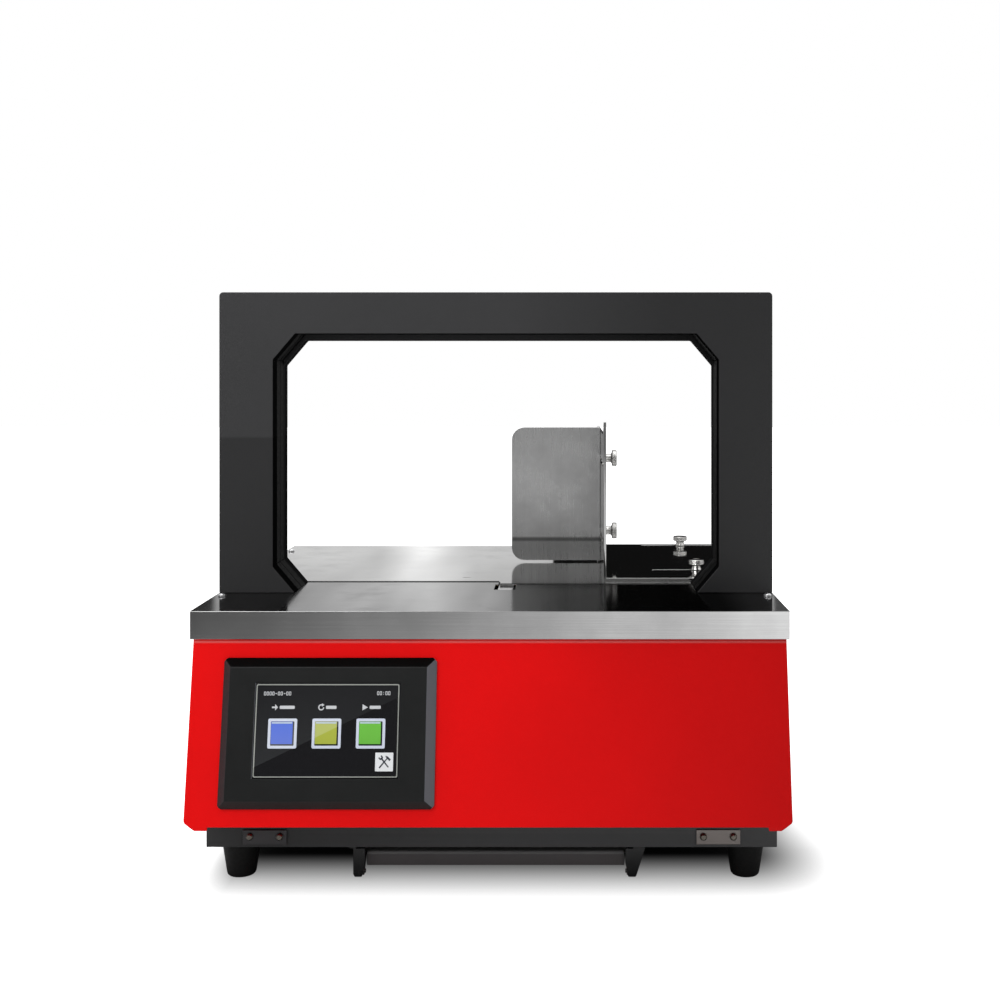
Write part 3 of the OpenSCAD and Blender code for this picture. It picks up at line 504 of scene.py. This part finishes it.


# Finish of each material slot; their tones paint light and shade into some of them
FINISH = {
    "tray_paint": powder_coat("tray_paint", srgb(60, 60, 61), rough=0.42, peel=0.15, grain=0.25,
                              edge_highlight=1.8, tone=tray_tone),
    "foot_rubber": moulded("foot_rubber", srgb(13, 13, 13), rough=0.62, grain=0.5, scale=900,
                           gloss=0.3),
    "zinc_screws": plated("zinc_screws", (0.66, 0.66, 0.67), rough=0.22),
    "bar_steel": powder_coat("bar_steel", srgb(70, 66, 67), rough=0.34, peel=0.1, grain=0.2, edge_highlight=2.2,
                             gloss=0.4, tone=bar_tone),
    "hood_paint": powder_coat("hood_paint", srgb(223, 5, 7), rough=0.42, peel=0.2, grain=0.4,
                              edge_highlight=1.12, gloss=0.08, tone=hood_tone),
    "stainless": brushed("stainless", (0.53, 0.528, 0.522), rough=0.09, along="X", streak=0.4,
                         blotch=0.22, patch=0.32, tone=worktop_tone(dim=0.0, right=0.0)),
    "frame_steel": plated("frame_steel", (0.56, 0.57, 0.58), rough=0.36, spangle=0.5),
    "arch_paint": powder_coat("arch_paint", srgb(55, 55, 56), rough=0.4, peel=0.1, grain=0.22,
                              edge_highlight=1.3, gloss=0.2, tone=arch_tone),
    "leaf_plastic": moulded("leaf_plastic", srgb(3, 3, 3), rough=0.6, gloss=0.02),
    "knob_nickel": plated("knob_nickel", (0.86, 0.85, 0.83), rough=0.1, spangle=0.05, pits=0.02,
                          rim_shade=0.16),
    "hmi_plastic": moulded("hmi_plastic", srgb(25, 26, 26), rough=0.44, grain=0.4, scale=1700,
                           edge_sheen=1.5, gloss=0.18, tone=panel_tone),
    "screen_glass": screen_face(),
    "tool_steel": brushed("tool_steel", (0.58, 0.58, 0.59), rough=0.25, along="Y", streak=0.6,
                          blotch=0.1),
    "brass_parts": brushed("brass_parts", (0.78, 0.6, 0.3), rough=0.28, along="Z", streak=0.5,
                           blotch=0.2),
    "motor_black": powder_coat("motor_black", srgb(38, 38, 38), rough=0.45, peel=0.1, grain=0.2,
                               edge_highlight=1.7),
    "board_green": circuit_board(),
    "fitting_plastic": moulded("fitting_plastic", srgb(30, 30, 31), rough=0.34, grain=0.2),
    "rocker_red": moulded("rocker_red", srgb(196, 22, 18), rough=0.28, grain=0.15, scale=1500,
                          edge_sheen=1.1),
    "reel_plastic": moulded("reel_plastic", srgb(44, 44, 46), rough=0.45, grain=0.35, scale=1300),
    "band_paper": paper_roll(),
}
# Parts whose finish differs from the rest of their slot, several by painted light and shade
OWN_FINISH = {
    "worktop_front": brushed("worktop_front_steel", (0.64, 0.64, 0.64), rough=0.1, along="X",
                             streak=0.45, blotch=0.3, patch=0.4, tone=worktop_tone(dim=0.35, right=0.55)),
    "anvil": brushed("anvil_steel", (0.5, 0.5, 0.5), rough=0.12, along="X", streak=0.1, blotch=0.1),
    "back_stop": brushed("stop_steel", (0.8, 0.8, 0.8), rough=0.27, along="Z", streak=0.35, blotch=0.7,
                         patch=0.3, tone=stop_tone),
    "side_guide": brushed("guide_steel", (0.62, 0.62, 0.615), rough=0.05, along="Y", streak=0.25,
                          blotch=0.1, patch=0.15),
    "tie_plates": brushed("tie_steel", (0.13, 0.125, 0.12), rough=0.34, along="X", streak=0.5,
                          blotch=0.4, tone=tie_tone),
    "tie_plate_screws": plated("dark_screws", (0.16, 0.145, 0.125), rough=0.3),
    "bar_pins": plated("dark_pins", (0.12, 0.12, 0.12), rough=0.32),
    "bar_brackets": powder_coat("bracket_black", srgb(9, 9, 10), rough=0.2, peel=0.08, grain=0.1,
                                coat=0.2, edge_highlight=6.0, gloss=0.3),
    "band_track": plated("track_steel", (0.1, 0.1, 0.1), rough=0.4, spangle=0.3),
}

SLOT_OF = {part["node"]: part["material_slot"] for part in frame["record"]["subparts"]}


def dress(obj, mat):
    """Gives the object this one material."""
    obj.data.materials.clear()
    obj.data.materials.append(mat)


# ---- Rounded edges on the carried-over parts ----

# Millimetres
EDGE_RADIUS = {
    "arch_front_cover": 0.7, "arch_rear_cover": 0.7, "housing": 0.6, "hmi_bezel": 0.6,
    "worktop_front": 0.35, "worktop_rear": 0.35, "base_tray": 0.5, "side_guide": 0.3, "back_stop": 0.3,
    "start_bar": 0.3, "bar_brackets": 0.25, "tie_plates": 0.3, "rear_panel": 0.3, "power_rocker": 0.5,
    "reel": 0.4, "reel_knob": 0.5, "power_inlet": 0.3, "rubber_feet": 0.3,
}
OTHER_RADIUS = 0.12
WELD_GAP = 2e-6  # metres
FLAT_WITHIN = math.radians(0.5)
SHARP_BEYOND = math.radians(32)


def soften(obj, radius):
    """Rounds a part's sharp edges a little and cleans its flat faces. The mesh itself stays as it is."""
    normals = obj.data.attributes.get("custom_normal")
    if normals:
        obj.data.attributes.remove(normals)
    obj.data.polygons.foreach_set("use_smooth", [True] * len(obj.data.polygons))
    weld = obj.modifiers.new("weld", "WELD")
    weld.merge_threshold = WELD_GAP
    flat = obj.modifiers.new("flat", "DECIMATE")
    flat.decimate_type = "DISSOLVE"
    flat.angle_limit = FLAT_WITHIN
    bevel = obj.modifiers.new("bevel", "BEVEL")
    bevel.width = radius * MM
    bevel.segments = 2
    bevel.limit_method = "ANGLE"
    bevel.angle_limit = SHARP_BEYOND
    bevel.use_clamp_overlap = False
    even = obj.modifiers.new("even", "WEIGHTED_NORMAL")
    even.keep_sharp = False
    even.weight = 60


for name, obj in frame["nodes"].items():
    dress(obj, OWN_FINISH.get(name) or FINISH[SLOT_OF[name]])
    soften(obj, EDGE_RADIUS.get(name, OTHER_RADIUS))


# ---- Mesh helpers ----

def make(name, bm, body, mat):
    """Turns a bmesh into a piece that rides on a body."""
    bmesh.ops.recalc_face_normals(bm, faces=bm.faces)
    mesh = bpy.data.meshes.new(name)
    bm.to_mesh(mesh)
    bm.free()
    obj = bpy.data.objects.new(name, mesh)
    bpy.context.scene.collection.objects.link(obj)
    dress(obj, mat)
    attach(obj, body)
    return obj


def lathe(bm, profile, steps, place, radius_at=None):
    """Spins (radius, height) pairs round +Z and closes both ends.

    radius_at(angle, radius, height) may change a radius, which cuts knurls.
    """
    rings = []
    for r, h in profile:
        ring = []
        for i in range(steps):
            a = math.tau * i / steps
            rr = radius_at(a, r, h) if radius_at else r
            ring.append(bm.verts.new(place @ Vector((rr * math.cos(a), rr * math.sin(a), h))))
        rings.append(ring)
    for low, high in zip(rings, rings[1:]):
        for i in range(steps):
            j = (i + 1) % steps
            bm.faces.new((low[i], low[j], high[j], high[i]))
    bm.faces.new(rings[0])
    bm.faces.new(rings[-1])


# ---- Thumb screws ----

KNURLS = 26
KNURL_DEPTH = 0.32  # millimetres
KNURL_SLANT = 1.15
SPIN_STEPS = 8 * KNURLS
CRISP_BEYOND = math.radians(50)


def thumb_screw(node, axis, tall):
    """A thumb screw with a diamond-knurled head. The CAD screw gives its place, length and head size.

    tall is how far the screw stands above what it clamps, in millimetres, as all its sizes here.
    """
    lo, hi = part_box(node)
    centre = (lo + hi) / 2
    turn = Matrix.Identity(4) if axis == "Z" else Matrix.Rotation(math.pi / 2, 4, "Y")
    top, bottom = (hi.z, lo.z) if axis == "Z" else (hi.x, lo.x)
    origin = Vector((centre.x, centre.y, top)) if axis == "Z" else Vector((top, centre.y, centre.z))
    place = Matrix.Translation(origin) @ turn @ Matrix.Scale(MM, 4)
    length = (top - bottom) / MM
    head_r = (hi.y - lo.y) / 2 / MM
    shank = [(1.7, -length), (2.0, -length + 0.4), (2.0, -tall)]
    collar = [(4.35, -tall), (4.6, -tall + 0.2), (4.6, -tall + 1.1), (4.35, -tall + 1.4),
              (3.95, -tall + 1.9)]
    neck = [(3.7, -tall + 2.5), (3.7, -5.5), (3.9, -5.1)]
    flare = [(head_r - 2.2, -4.5), (head_r - 0.9, -4.3), (head_r - 0.4, -4.1), (head_r - 0.05, -3.7)]
    grip = [(head_r, -3.45 + 0.28 * i) for i in range(11)]
    crown = [(head_r - 0.05, -0.45), (head_r - 0.3, -0.18), (head_r - 0.65, 0.0), (3.6, 0.0),
             (3.4, -0.18), (0.4, -0.18)]
    profile = shank + collar + neck + flare + grip + crown
    low, high = grip[0][1], grip[-1][1]

    def ridges(angle, r, h):
        if r < head_r - 0.01 or not low <= h <= high:
            return r
        slant = h * KNURL_SLANT / head_r
        left = abs(math.sin(KNURLS * (angle + slant) / 2))
        right = abs(math.sin(KNURLS * (angle - slant) / 2))
        return r - KNURL_DEPTH * (1 - min(left, right) ** 0.8)

    bm = bmesh.new()
    lathe(bm, profile, SPIN_STEPS, place, ridges)
    obj = make(node + "_knurled", bm, node, FINISH["knob_nickel"])
    for face in obj.data.polygons:
        face.use_smooth = True
    crisp = obj.modifiers.new("crisp", "EDGE_SPLIT")
    crisp.split_angle = CRISP_BEYOND
    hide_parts(node)


GUIDE_KNOB_TALL = 9.1
STOP_KNOB_TALL = 13.1
thumb_screw("guide_knob_front", "Z", GUIDE_KNOB_TALL)
thumb_screw("guide_knob_rear", "Z", GUIDE_KNOB_TALL)
thumb_screw("stop_knob_upper", "X", STOP_KNOB_TALL)
thumb_screw("stop_knob_lower", "X", STOP_KNOB_TALL)


# ---- Touch screen content ----

# Sizes and places on the screen are in millimetres from its middle
LEAN = math.atan2(25.5, 126.0)  # how far the front panel leans, from its run and rise
SCREEN_W = 99.7
SCREEN_H = 62.4
LIFT = 0.12  # how far the shapes stand off the glass
FACE_OUT = 0.5 * MM  # from the screen's middle to its glass
lo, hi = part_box("hmi_screen")
out = Vector((0, -math.cos(LEAN), math.sin(LEAN)))
face_middle = (lo + hi) / 2 + out * FACE_OUT
face_turn = Matrix.Rotation(math.pi / 2 - LEAN, 4, "X")
screen_frame = Matrix.Translation(face_middle) @ face_turn @ Matrix.Scale(MM, 4)


def rounded(w, h, r, steps=6):
    """Corner points of a rounded rectangle about the origin."""
    points = []
    for cx, cy, start in ((w / 2 - r, h / 2 - r, 0), (-w / 2 + r, h / 2 - r, 90),
                          (-w / 2 + r, -h / 2 + r, 180), (w / 2 - r, -h / 2 + r, 270)):
        for i in range(steps + 1):
            a = math.radians(start + 90 * i / steps)
            points.append((cx + r * math.cos(a), cy + r * math.sin(a)))
    return points


def tile(bm, x, y, points, z0, z1):
    """A thin raised tile on the screen with the given outline."""
    low = [bm.verts.new(screen_frame @ Vector((x + px, y + py, z0))) for px, py in points]
    high = [bm.verts.new(screen_frame @ Vector((x + px, y + py, z1))) for px, py in points]
    bm.faces.new(high)
    bm.faces.new(list(reversed(low)))
    n = len(points)
    for i in range(n):
        j = (i + 1) % n
        bm.faces.new((low[i], low[j], high[j], high[i]))


def outline(bm, x, y, outer, inner, z0, z1):
    """A thin raised frame between two outlines with the same number of points."""
    rings = [[bm.verts.new(screen_frame @ Vector((x + px, y + py, z))) for px, py in points]
             for points, z in ((outer, z0), (outer, z1), (inner, z1), (inner, z0))]
    n = len(outer)
    for k in range(4):
        a, b = rings[k], rings[(k + 1) % 4]
        for i in range(n):
            j = (i + 1) % n
            bm.faces.new((a[i], a[j], b[j], b[i]))


def screen_piece(name, bm, mat):
    """Turns a bmesh into a piece on the screen."""
    return make(name, bm, "machine", mat)


bm = bmesh.new()
border_outer = rounded(SCREEN_W + 0.6, SCREEN_H + 0.6, 1.2)
border_inner = rounded(SCREEN_W - 0.9, SCREEN_H - 0.9, 0.8)
outline(bm, 0, 0, border_outer, border_inner, 0, LIFT)
screen_piece("screen_border", bm, glowing("screen_line", srgb(142, 145, 140), glow=0.25))

KEY_PITCH = 30.8
KEY_OUTER = 20.2
KEY_INNER = 16.4
KEY_Y = -2.0
key_low, key_high = face_middle.z - 12 * MM, face_middle.z + 8 * MM
KEYS = {
    "key_blue": (-1, srgb(26, 74, 182)),
    "key_yellow": (0, srgb(146, 154, 58)),
    "key_green": (1, srgb(92, 160, 58)),
}
KEY_FACE = KEY_INNER - 1.3  # the lit face leaves a dark edge on its right and lower sides
KEY_SHIFT = 0.45
GLINT_DROP = 0.8  # the glint's middle, below the face's top
GLINT_LIFT = 0.06
frames, shadows, glints = bmesh.new(), bmesh.new(), bmesh.new()
key_outer, key_inner = rounded(KEY_OUTER, KEY_OUTER, 1.1), rounded(KEY_INNER, KEY_INNER, 0.5)
for name, (place, rgb) in KEYS.items():
    x = place * KEY_PITCH
    outline(frames, x, KEY_Y, key_outer, key_inner, 0, LIFT)
    tile(shadows, x, KEY_Y, rounded(KEY_INNER - 0.1, KEY_INNER - 0.1, 0.4), 0, LIFT * 0.5)
    glint_y = KEY_Y + KEY_SHIFT + KEY_FACE / 2 - GLINT_DROP
    tile(glints, x - KEY_SHIFT, glint_y, rounded(KEY_FACE - 0.8, 1.0, 0.3, 3), LIFT, LIFT + GLINT_LIFT)
    bm = bmesh.new()
    tile(bm, x - KEY_SHIFT, KEY_Y + KEY_SHIFT, rounded(KEY_FACE, KEY_FACE, 0.4), 0, LIFT)
    screen_piece(name, bm, glowing(name, rgb, 1.1, 0.95, 0.4, key_low, key_high))
frame_glow = glowing("key_frame", srgb(176, 182, 196), 1.05, 1.0, 0.4, key_low, key_high)
screen_piece("key_frames", frames, frame_glow)
screen_piece("key_shadows", shadows, glowing("key_shadow", srgb(22, 26, 34), glow=0.02))
screen_piece("key_glints", glints, glowing("key_glint", srgb(190, 206, 220), glow=0.15))

# Small blocks stand where the date and time are, and each label is a plain sign beside a bar
signs = bmesh.new()
BLOCK_PITCH = 1.95


def block_row(left, y, pattern):
    """A row of blocks: # is a digit-sized block, - a short dash, : two dots."""
    for i, kind in enumerate(pattern):
        x = left + (i + 0.5) * BLOCK_PITCH
        if kind == "#":
            outline(signs, x, y, rounded(1.5, 2.6, 0.4, 3), rounded(0.7, 1.8, 0.2, 3), 0, LIFT)
        elif kind == "-":
            tile(signs, x, y, rounded(1.2, 0.5, 0.2, 3), 0, LIFT)
        else:
            for dy in (-0.65, 0.65):
                tile(signs, x, y + dy, rounded(0.5, 0.5, 0.2, 3), 0, LIFT)


block_row(-45.0, 25.1, "####-##-##")
block_row(34.3, 25.3, "##:##")

LABEL_Y = 15.7
SIGN = 2.1  # half the height of a label's sign
SIGN_GAP = 1.2  # between a sign and its bar
BAR_TALL = 2.2
ARROW = [(-SIGN, -0.55), (0.1, -0.55), (0.1, -SIGN), (SIGN, 0), (0.1, SIGN), (0.1, 0.55), (-SIGN, 0.55)]
PLAY = [(-SIGN * 0.8, -SIGN), (SIGN, 0), (-SIGN * 0.8, SIGN)]
RING = [(r * math.cos(math.radians(a)), r * math.sin(math.radians(a)))
        for r, sweep in ((SIGN, range(60, 361, 15)), (SIGN - 0.8, range(360, 59, -15))) for a in sweep]
RING_TIP = [(0.5, 2.7), (0.5, 0.4), (2.3, 1.7)]
# Each label's place, the shapes of its sign and the length of its bar
LABELS = ((-1, (ARROW,), 10.5), (0, (RING, RING_TIP), 7.4), (1, (PLAY,), 7.8))
for place, shapes, bar in LABELS:
    left = place * KEY_PITCH - (2 * SIGN + SIGN_GAP + bar) / 2
    for points in shapes:
        tile(signs, left + SIGN, LABEL_Y, points, 0, LIFT)
    tile(signs, left + 2 * SIGN + SIGN_GAP + bar / 2, LABEL_Y, rounded(bar, BAR_TALL, 0.6, 3), 0, LIFT)
screen_piece("screen_bars", signs, glowing("screen_bar", srgb(190, 192, 196), glow=0.3))

# Settings tile with a plain crossed-tools sign
ICON = 12.5
icon_x, icon_y = 40.8, -21.1
bm = bmesh.new()
tile(bm, icon_x, icon_y, rounded(ICON, ICON, 0.5), 0, LIFT)
screen_piece("settings_tile", bm, glowing("settings_tile", srgb(206, 208, 210), 1.1, 0.9, 0.35))


def turned(points, degrees):
    """The points turned anticlockwise about the origin."""
    c, s = math.cos(math.radians(degrees)), math.sin(math.radians(degrees))
    return [(x * c - y * s, x * s + y * c) for x, y in points]


bm = bmesh.new()
SPANNER = [(-0.4, -4.6), (0.4, -4.6), (0.5, 2.3), (1.4, 2.9), (1.5, 4.7), (0.6, 4.7), (0.5, 3.6),
           (-0.5, 3.6), (-0.6, 4.7), (-1.5, 4.7), (-1.4, 2.9), (-0.5, 2.3)]
HAMMER = [(-0.5, -5.2), (0.5, -5.2), (0.35, 3.0), (2.4, 2.8), (2.4, 4.2), (-0.4, 4.4), (-2.2, 3.6),
          (-0.35, 3.0)]
for points, angle, level in ((SPANNER, 40, 0.1), (HAMMER, -40, 0.16)):
    tile(bm, icon_x, icon_y, turned(points, angle), LIFT, LIFT + level)
screen_piece("settings_sign", bm, glowing("settings_sign", srgb(52, 56, 66), glow=0.02))


# ---- Camera, light and stage ----

CAMERA_X = 54.4  # millimetres right of the machine's middle
CAMERA_BACK = 912.0  # in front of the worktop
CAMERA_Z = 371.1
SENSOR = 36.0
FOCAL = 1.282  # focal length, as a multiple of the sensor's width
SHIFT_X, SHIFT_Y = -0.0663, -0.125

cam_data = bpy.data.cameras.new("camera")
cam_data.sensor_width = SENSOR
cam_data.lens = FOCAL * SENSOR
cam_data.shift_x = SHIFT_X
cam_data.shift_y = SHIFT_Y
camera = bpy.data.objects.new("camera", cam_data)
camera.location = (CAMERA_X * MM, FRONT_Y - CAMERA_BACK * MM, CAMERA_Z * MM)
camera.rotation_euler = (math.pi / 2, 0, 0)
bpy.context.scene.collection.objects.link(camera)
bpy.context.scene.camera = camera


def area_light(name, place, aim, size, power):
    """A rectangular soft light that points at aim."""
    data = bpy.data.lights.new(name, "AREA")
    data.shape = "RECTANGLE"
    data.size, data.size_y = size
    data.energy = power
    lamp = bpy.data.objects.new(name, data)
    lamp.location = place
    lamp.rotation_euler = (Vector(aim) - Vector(place)).to_track_quat("-Z", "Y").to_euler()
    bpy.context.scene.collection.objects.link(lamp)


area_light("key_light", place=(-0.95, -1.5, 1.6), aim=(0, -0.1, 0.15), size=(1.3, 1.3), power=22)
area_light("top_light", place=(-0.2, 0.1, 1.8), aim=(0, 0.05, 0.2), size=(1.6, 1.2), power=7)

BACKDROP = 1.0  # as seen by the camera
AMBIENT = 0.5  # as it lights the object
world = bpy.data.worlds.new("studio")
bpy.context.scene.world = world
world.use_nodes = True
studio = Nodes(world.node_tree, "Generated")
# What metal mirrors: pale all round, but dark near the horizon in front, and brighter to the right
low_front = studio.span(studio.axis("Z"), 0.22, 0.45, 0.2, 0.85)
all_round = studio.span(studio.axis("Y"), -0.35, 0.3, low_front, 1.0)
from_right = studio.span(studio.axis("X"), -1, 1, 0.75, 1.15)
mirrored = studio.times(all_round, from_right)
camera_ray, glossy_ray = studio.ray("Is Camera Ray"), studio.ray("Is Glossy Ray")
strength = studio.math("ADD", AMBIENT, studio.times(camera_ray, BACKDROP - AMBIENT))
extra = studio.math("SUBTRACT", mirrored, AMBIENT)
strength = studio.math("ADD", strength, studio.times(glossy_ray, extra))
background = world.node_tree.nodes["Background"]
background.inputs["Color"].default_value = WHITE
studio.feed(background.inputs["Strength"], strength)


def stage_sheet(name, corners, mat):
    """A flat four-cornered sheet of the studio."""
    mesh = bpy.data.meshes.new(name)
    mesh.from_pydata([Vector(c) for c in corners], [], [(0, 1, 2, 3)])
    obj = bpy.data.objects.new(name, mesh)
    bpy.context.scene.collection.objects.link(obj)
    obj.data.materials.append(mat)
    return obj


floor_mat = Shader("floor", Roughness=0.9, Specular_IOR_Level=0.0)
across, deep = floor_mat.axis("X"), floor_mat.axis("Y")
# Painted contact shade: full between the feet, gone just in front of them, and a painted shadow trailing
# off to the right
machine_low, machine_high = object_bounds()
SHADE_RIGHT = 0.275  # how far right the painted shadow's trail reaches, at its front
SHADE_FULL = 0.192  # the painted shade is full left of this
FLOOR_SHADOW = (0.03, 0.03, 0.03, 1)
FLOOR_PALE, FLOOR_PALER = (0.93, 0.93, 0.93, 1), (0.96, 0.96, 0.96, 1)
FLOOR = ((-6, -4, 0), (6, -4, 0), (6, 8, 0), (-6, 8, 0))
under = floor_mat.span(deep, FRONT_Y - 40 * MM, FRONT_Y + 84 * MM, curve="SMOOTHSTEP")
under = floor_mat.math("POWER", under, 1.25)
under = floor_mat.times(under, floor_mat.span(deep, machine_high[1] + 10 * MM, machine_high[1] - 60 * MM))
under = floor_mat.times(under, floor_mat.span(across, machine_low[0] - 8 * MM, machine_low[0] + 22 * MM))
trail = floor_mat.span(deep, FRONT_Y + 90 * MM, FRONT_Y + 320 * MM, SHADE_RIGHT, machine_high[0])
under = floor_mat.times(under, floor_mat.span(across, trail, SHADE_FULL, curve="SMOOTHSTEP"))
pale = floor_mat.mix(floor_mat.noise(2, 2), FLOOR_PALE, FLOOR_PALER)
# The painted shade darkens the floor's colour and takes away its glow
dark = floor_mat.math("POWER", under, 0.3)
floor_mat.set(Base_Color=floor_mat.mix(dark, pale, FLOOR_SHADOW))
clear = floor_mat.times(floor_mat.math("SUBTRACT", 1.0, under), floor_mat.ray("Is Camera Ray"))
floor_mat.set(Emission_Color=WHITE, Emission_Strength=clear)
stage_sheet("floor", FLOOR, floor_mat.mat)


def only_mirrored(obj):
    """A card that only shows in reflections."""
    for kind in ("camera", "diffuse", "shadow", "transmission", "volume_scatter"):
        setattr(obj, "visible_" + kind, False)


# Card behind, mirrored in the worktop: dark far left, pale with one bright band, then black behind the
# guide, with a thin bright line at its right
CARD_Y = FRONT_Y + 430 * MM
CARD_HALF = 0.9
CARD_LOW = 0.19
CARD_TOP = 0.34  # just above the highest line the worktop mirrors towards the camera
PALE_LEFT, PALE_RIGHT = -0.311, 0.04  # the pale part
BAND_X, BAND_HALF = -0.092, 0.055
LINE_X, LINE_WIDTH = 0.268, 0.004
EDGE_FADE = 0.001
BLACK_GLOW = 0.006
back = Shader("back_card", Base_Color=BLACK, Specular_IOR_Level=0.0)
card_x = back.axis("X")
glow = back.span(card_x, PALE_LEFT, -0.15, 0.72, 0.86)
from_band = back.math("ABSOLUTE", back.math("SUBTRACT", card_x, BAND_X))
glow = back.math("ADD", glow, back.span(from_band, BAND_HALF, 0, 0, 0.5, "SMOOTHSTEP"))
glow = back.times(glow, back.span(card_x, -0.09, PALE_RIGHT, 1, 0.8))
glow = back.times(glow, back.span(card_x, PALE_LEFT - 0.006, PALE_LEFT, 0.08, 1))
glow = back.times(glow, back.span(card_x, PALE_RIGHT + EDGE_FADE, PALE_RIGHT))
line_end = LINE_X + LINE_WIDTH
line = back.span(card_x, line_end, line_end - EDGE_FADE, 0.12, 0.9)
line = back.times(line, back.span(card_x, LINE_X, LINE_X + EDGE_FADE))
glow = back.math("ADD", glow, line)
back.set(Emission_Color=WHITE, Emission_Strength=back.math("ADD", glow, BLACK_GLOW))
# Like a louvre, the card shows only to rays mirrored towards the camera, and is clear to the rest
LOUVRE_SHUT = math.cos(math.radians(19))
LOUVRE_OPEN = math.cos(math.radians(13))
mirrored_eye = Vector((camera.location.x, camera.location.y, 2 * TOP_Z - camera.location.z))
to_eye = back.vector("NORMALIZE", back.vector("SUBTRACT", mirrored_eye, back.place).outputs[0])
incoming = back.node("ShaderNodeNewGeometry").outputs["Incoming"]
agree = back.vector("DOT_PRODUCT", to_eye.outputs[0], incoming).outputs["Value"]
louvre = back.node("ShaderNodeMixShader")
back.feed(louvre.inputs[0], back.span(agree, LOUVRE_SHUT, LOUVRE_OPEN))
back.feed(louvre.inputs[1], back.node("ShaderNodeBsdfTransparent").outputs[0])
back.feed(louvre.inputs[2], back.bsdf.outputs[0])
back.feed(back.tree.nodes["Material Output"].inputs["Surface"], louvre.outputs[0])
back_corners = ((-CARD_HALF, CARD_Y, CARD_LOW), (CARD_HALF, CARD_Y, CARD_LOW),
                (CARD_HALF, CARD_Y, CARD_TOP), (-CARD_HALF, CARD_Y, CARD_TOP))
only_mirrored(stage_sheet("back_card", back_corners, back.mat))

# Card on the floor in front, dark on the left and bright on the right, mirrored in the worktop's edge
GRADED_HALF = 2
GRADED_NEAR, GRADED_FAR = FRONT_Y - 2.6, FRONT_Y - 0.1
GRADED_Z = 0.002
graded = Shader("graded_card", Base_Color=BLACK, Specular_IOR_Level=0.0)
rise = graded.math("POWER", graded.span(graded.axis("X"), -0.6, 0.45), 1.6)
rise = graded.math("ADD", graded.times(rise, 1.18), 0.13)
graded.set(Emission_Color=WHITE, Emission_Strength=rise)
graded_corners = ((-GRADED_HALF, GRADED_NEAR, GRADED_Z), (GRADED_HALF, GRADED_NEAR, GRADED_Z),
                  (GRADED_HALF, GRADED_FAR, GRADED_Z), (-GRADED_HALF, GRADED_FAR, GRADED_Z))
only_mirrored(stage_sheet("graded_card", graded_corners, graded.mat))

bpy.context.scene.view_settings.view_transform = "Standard"
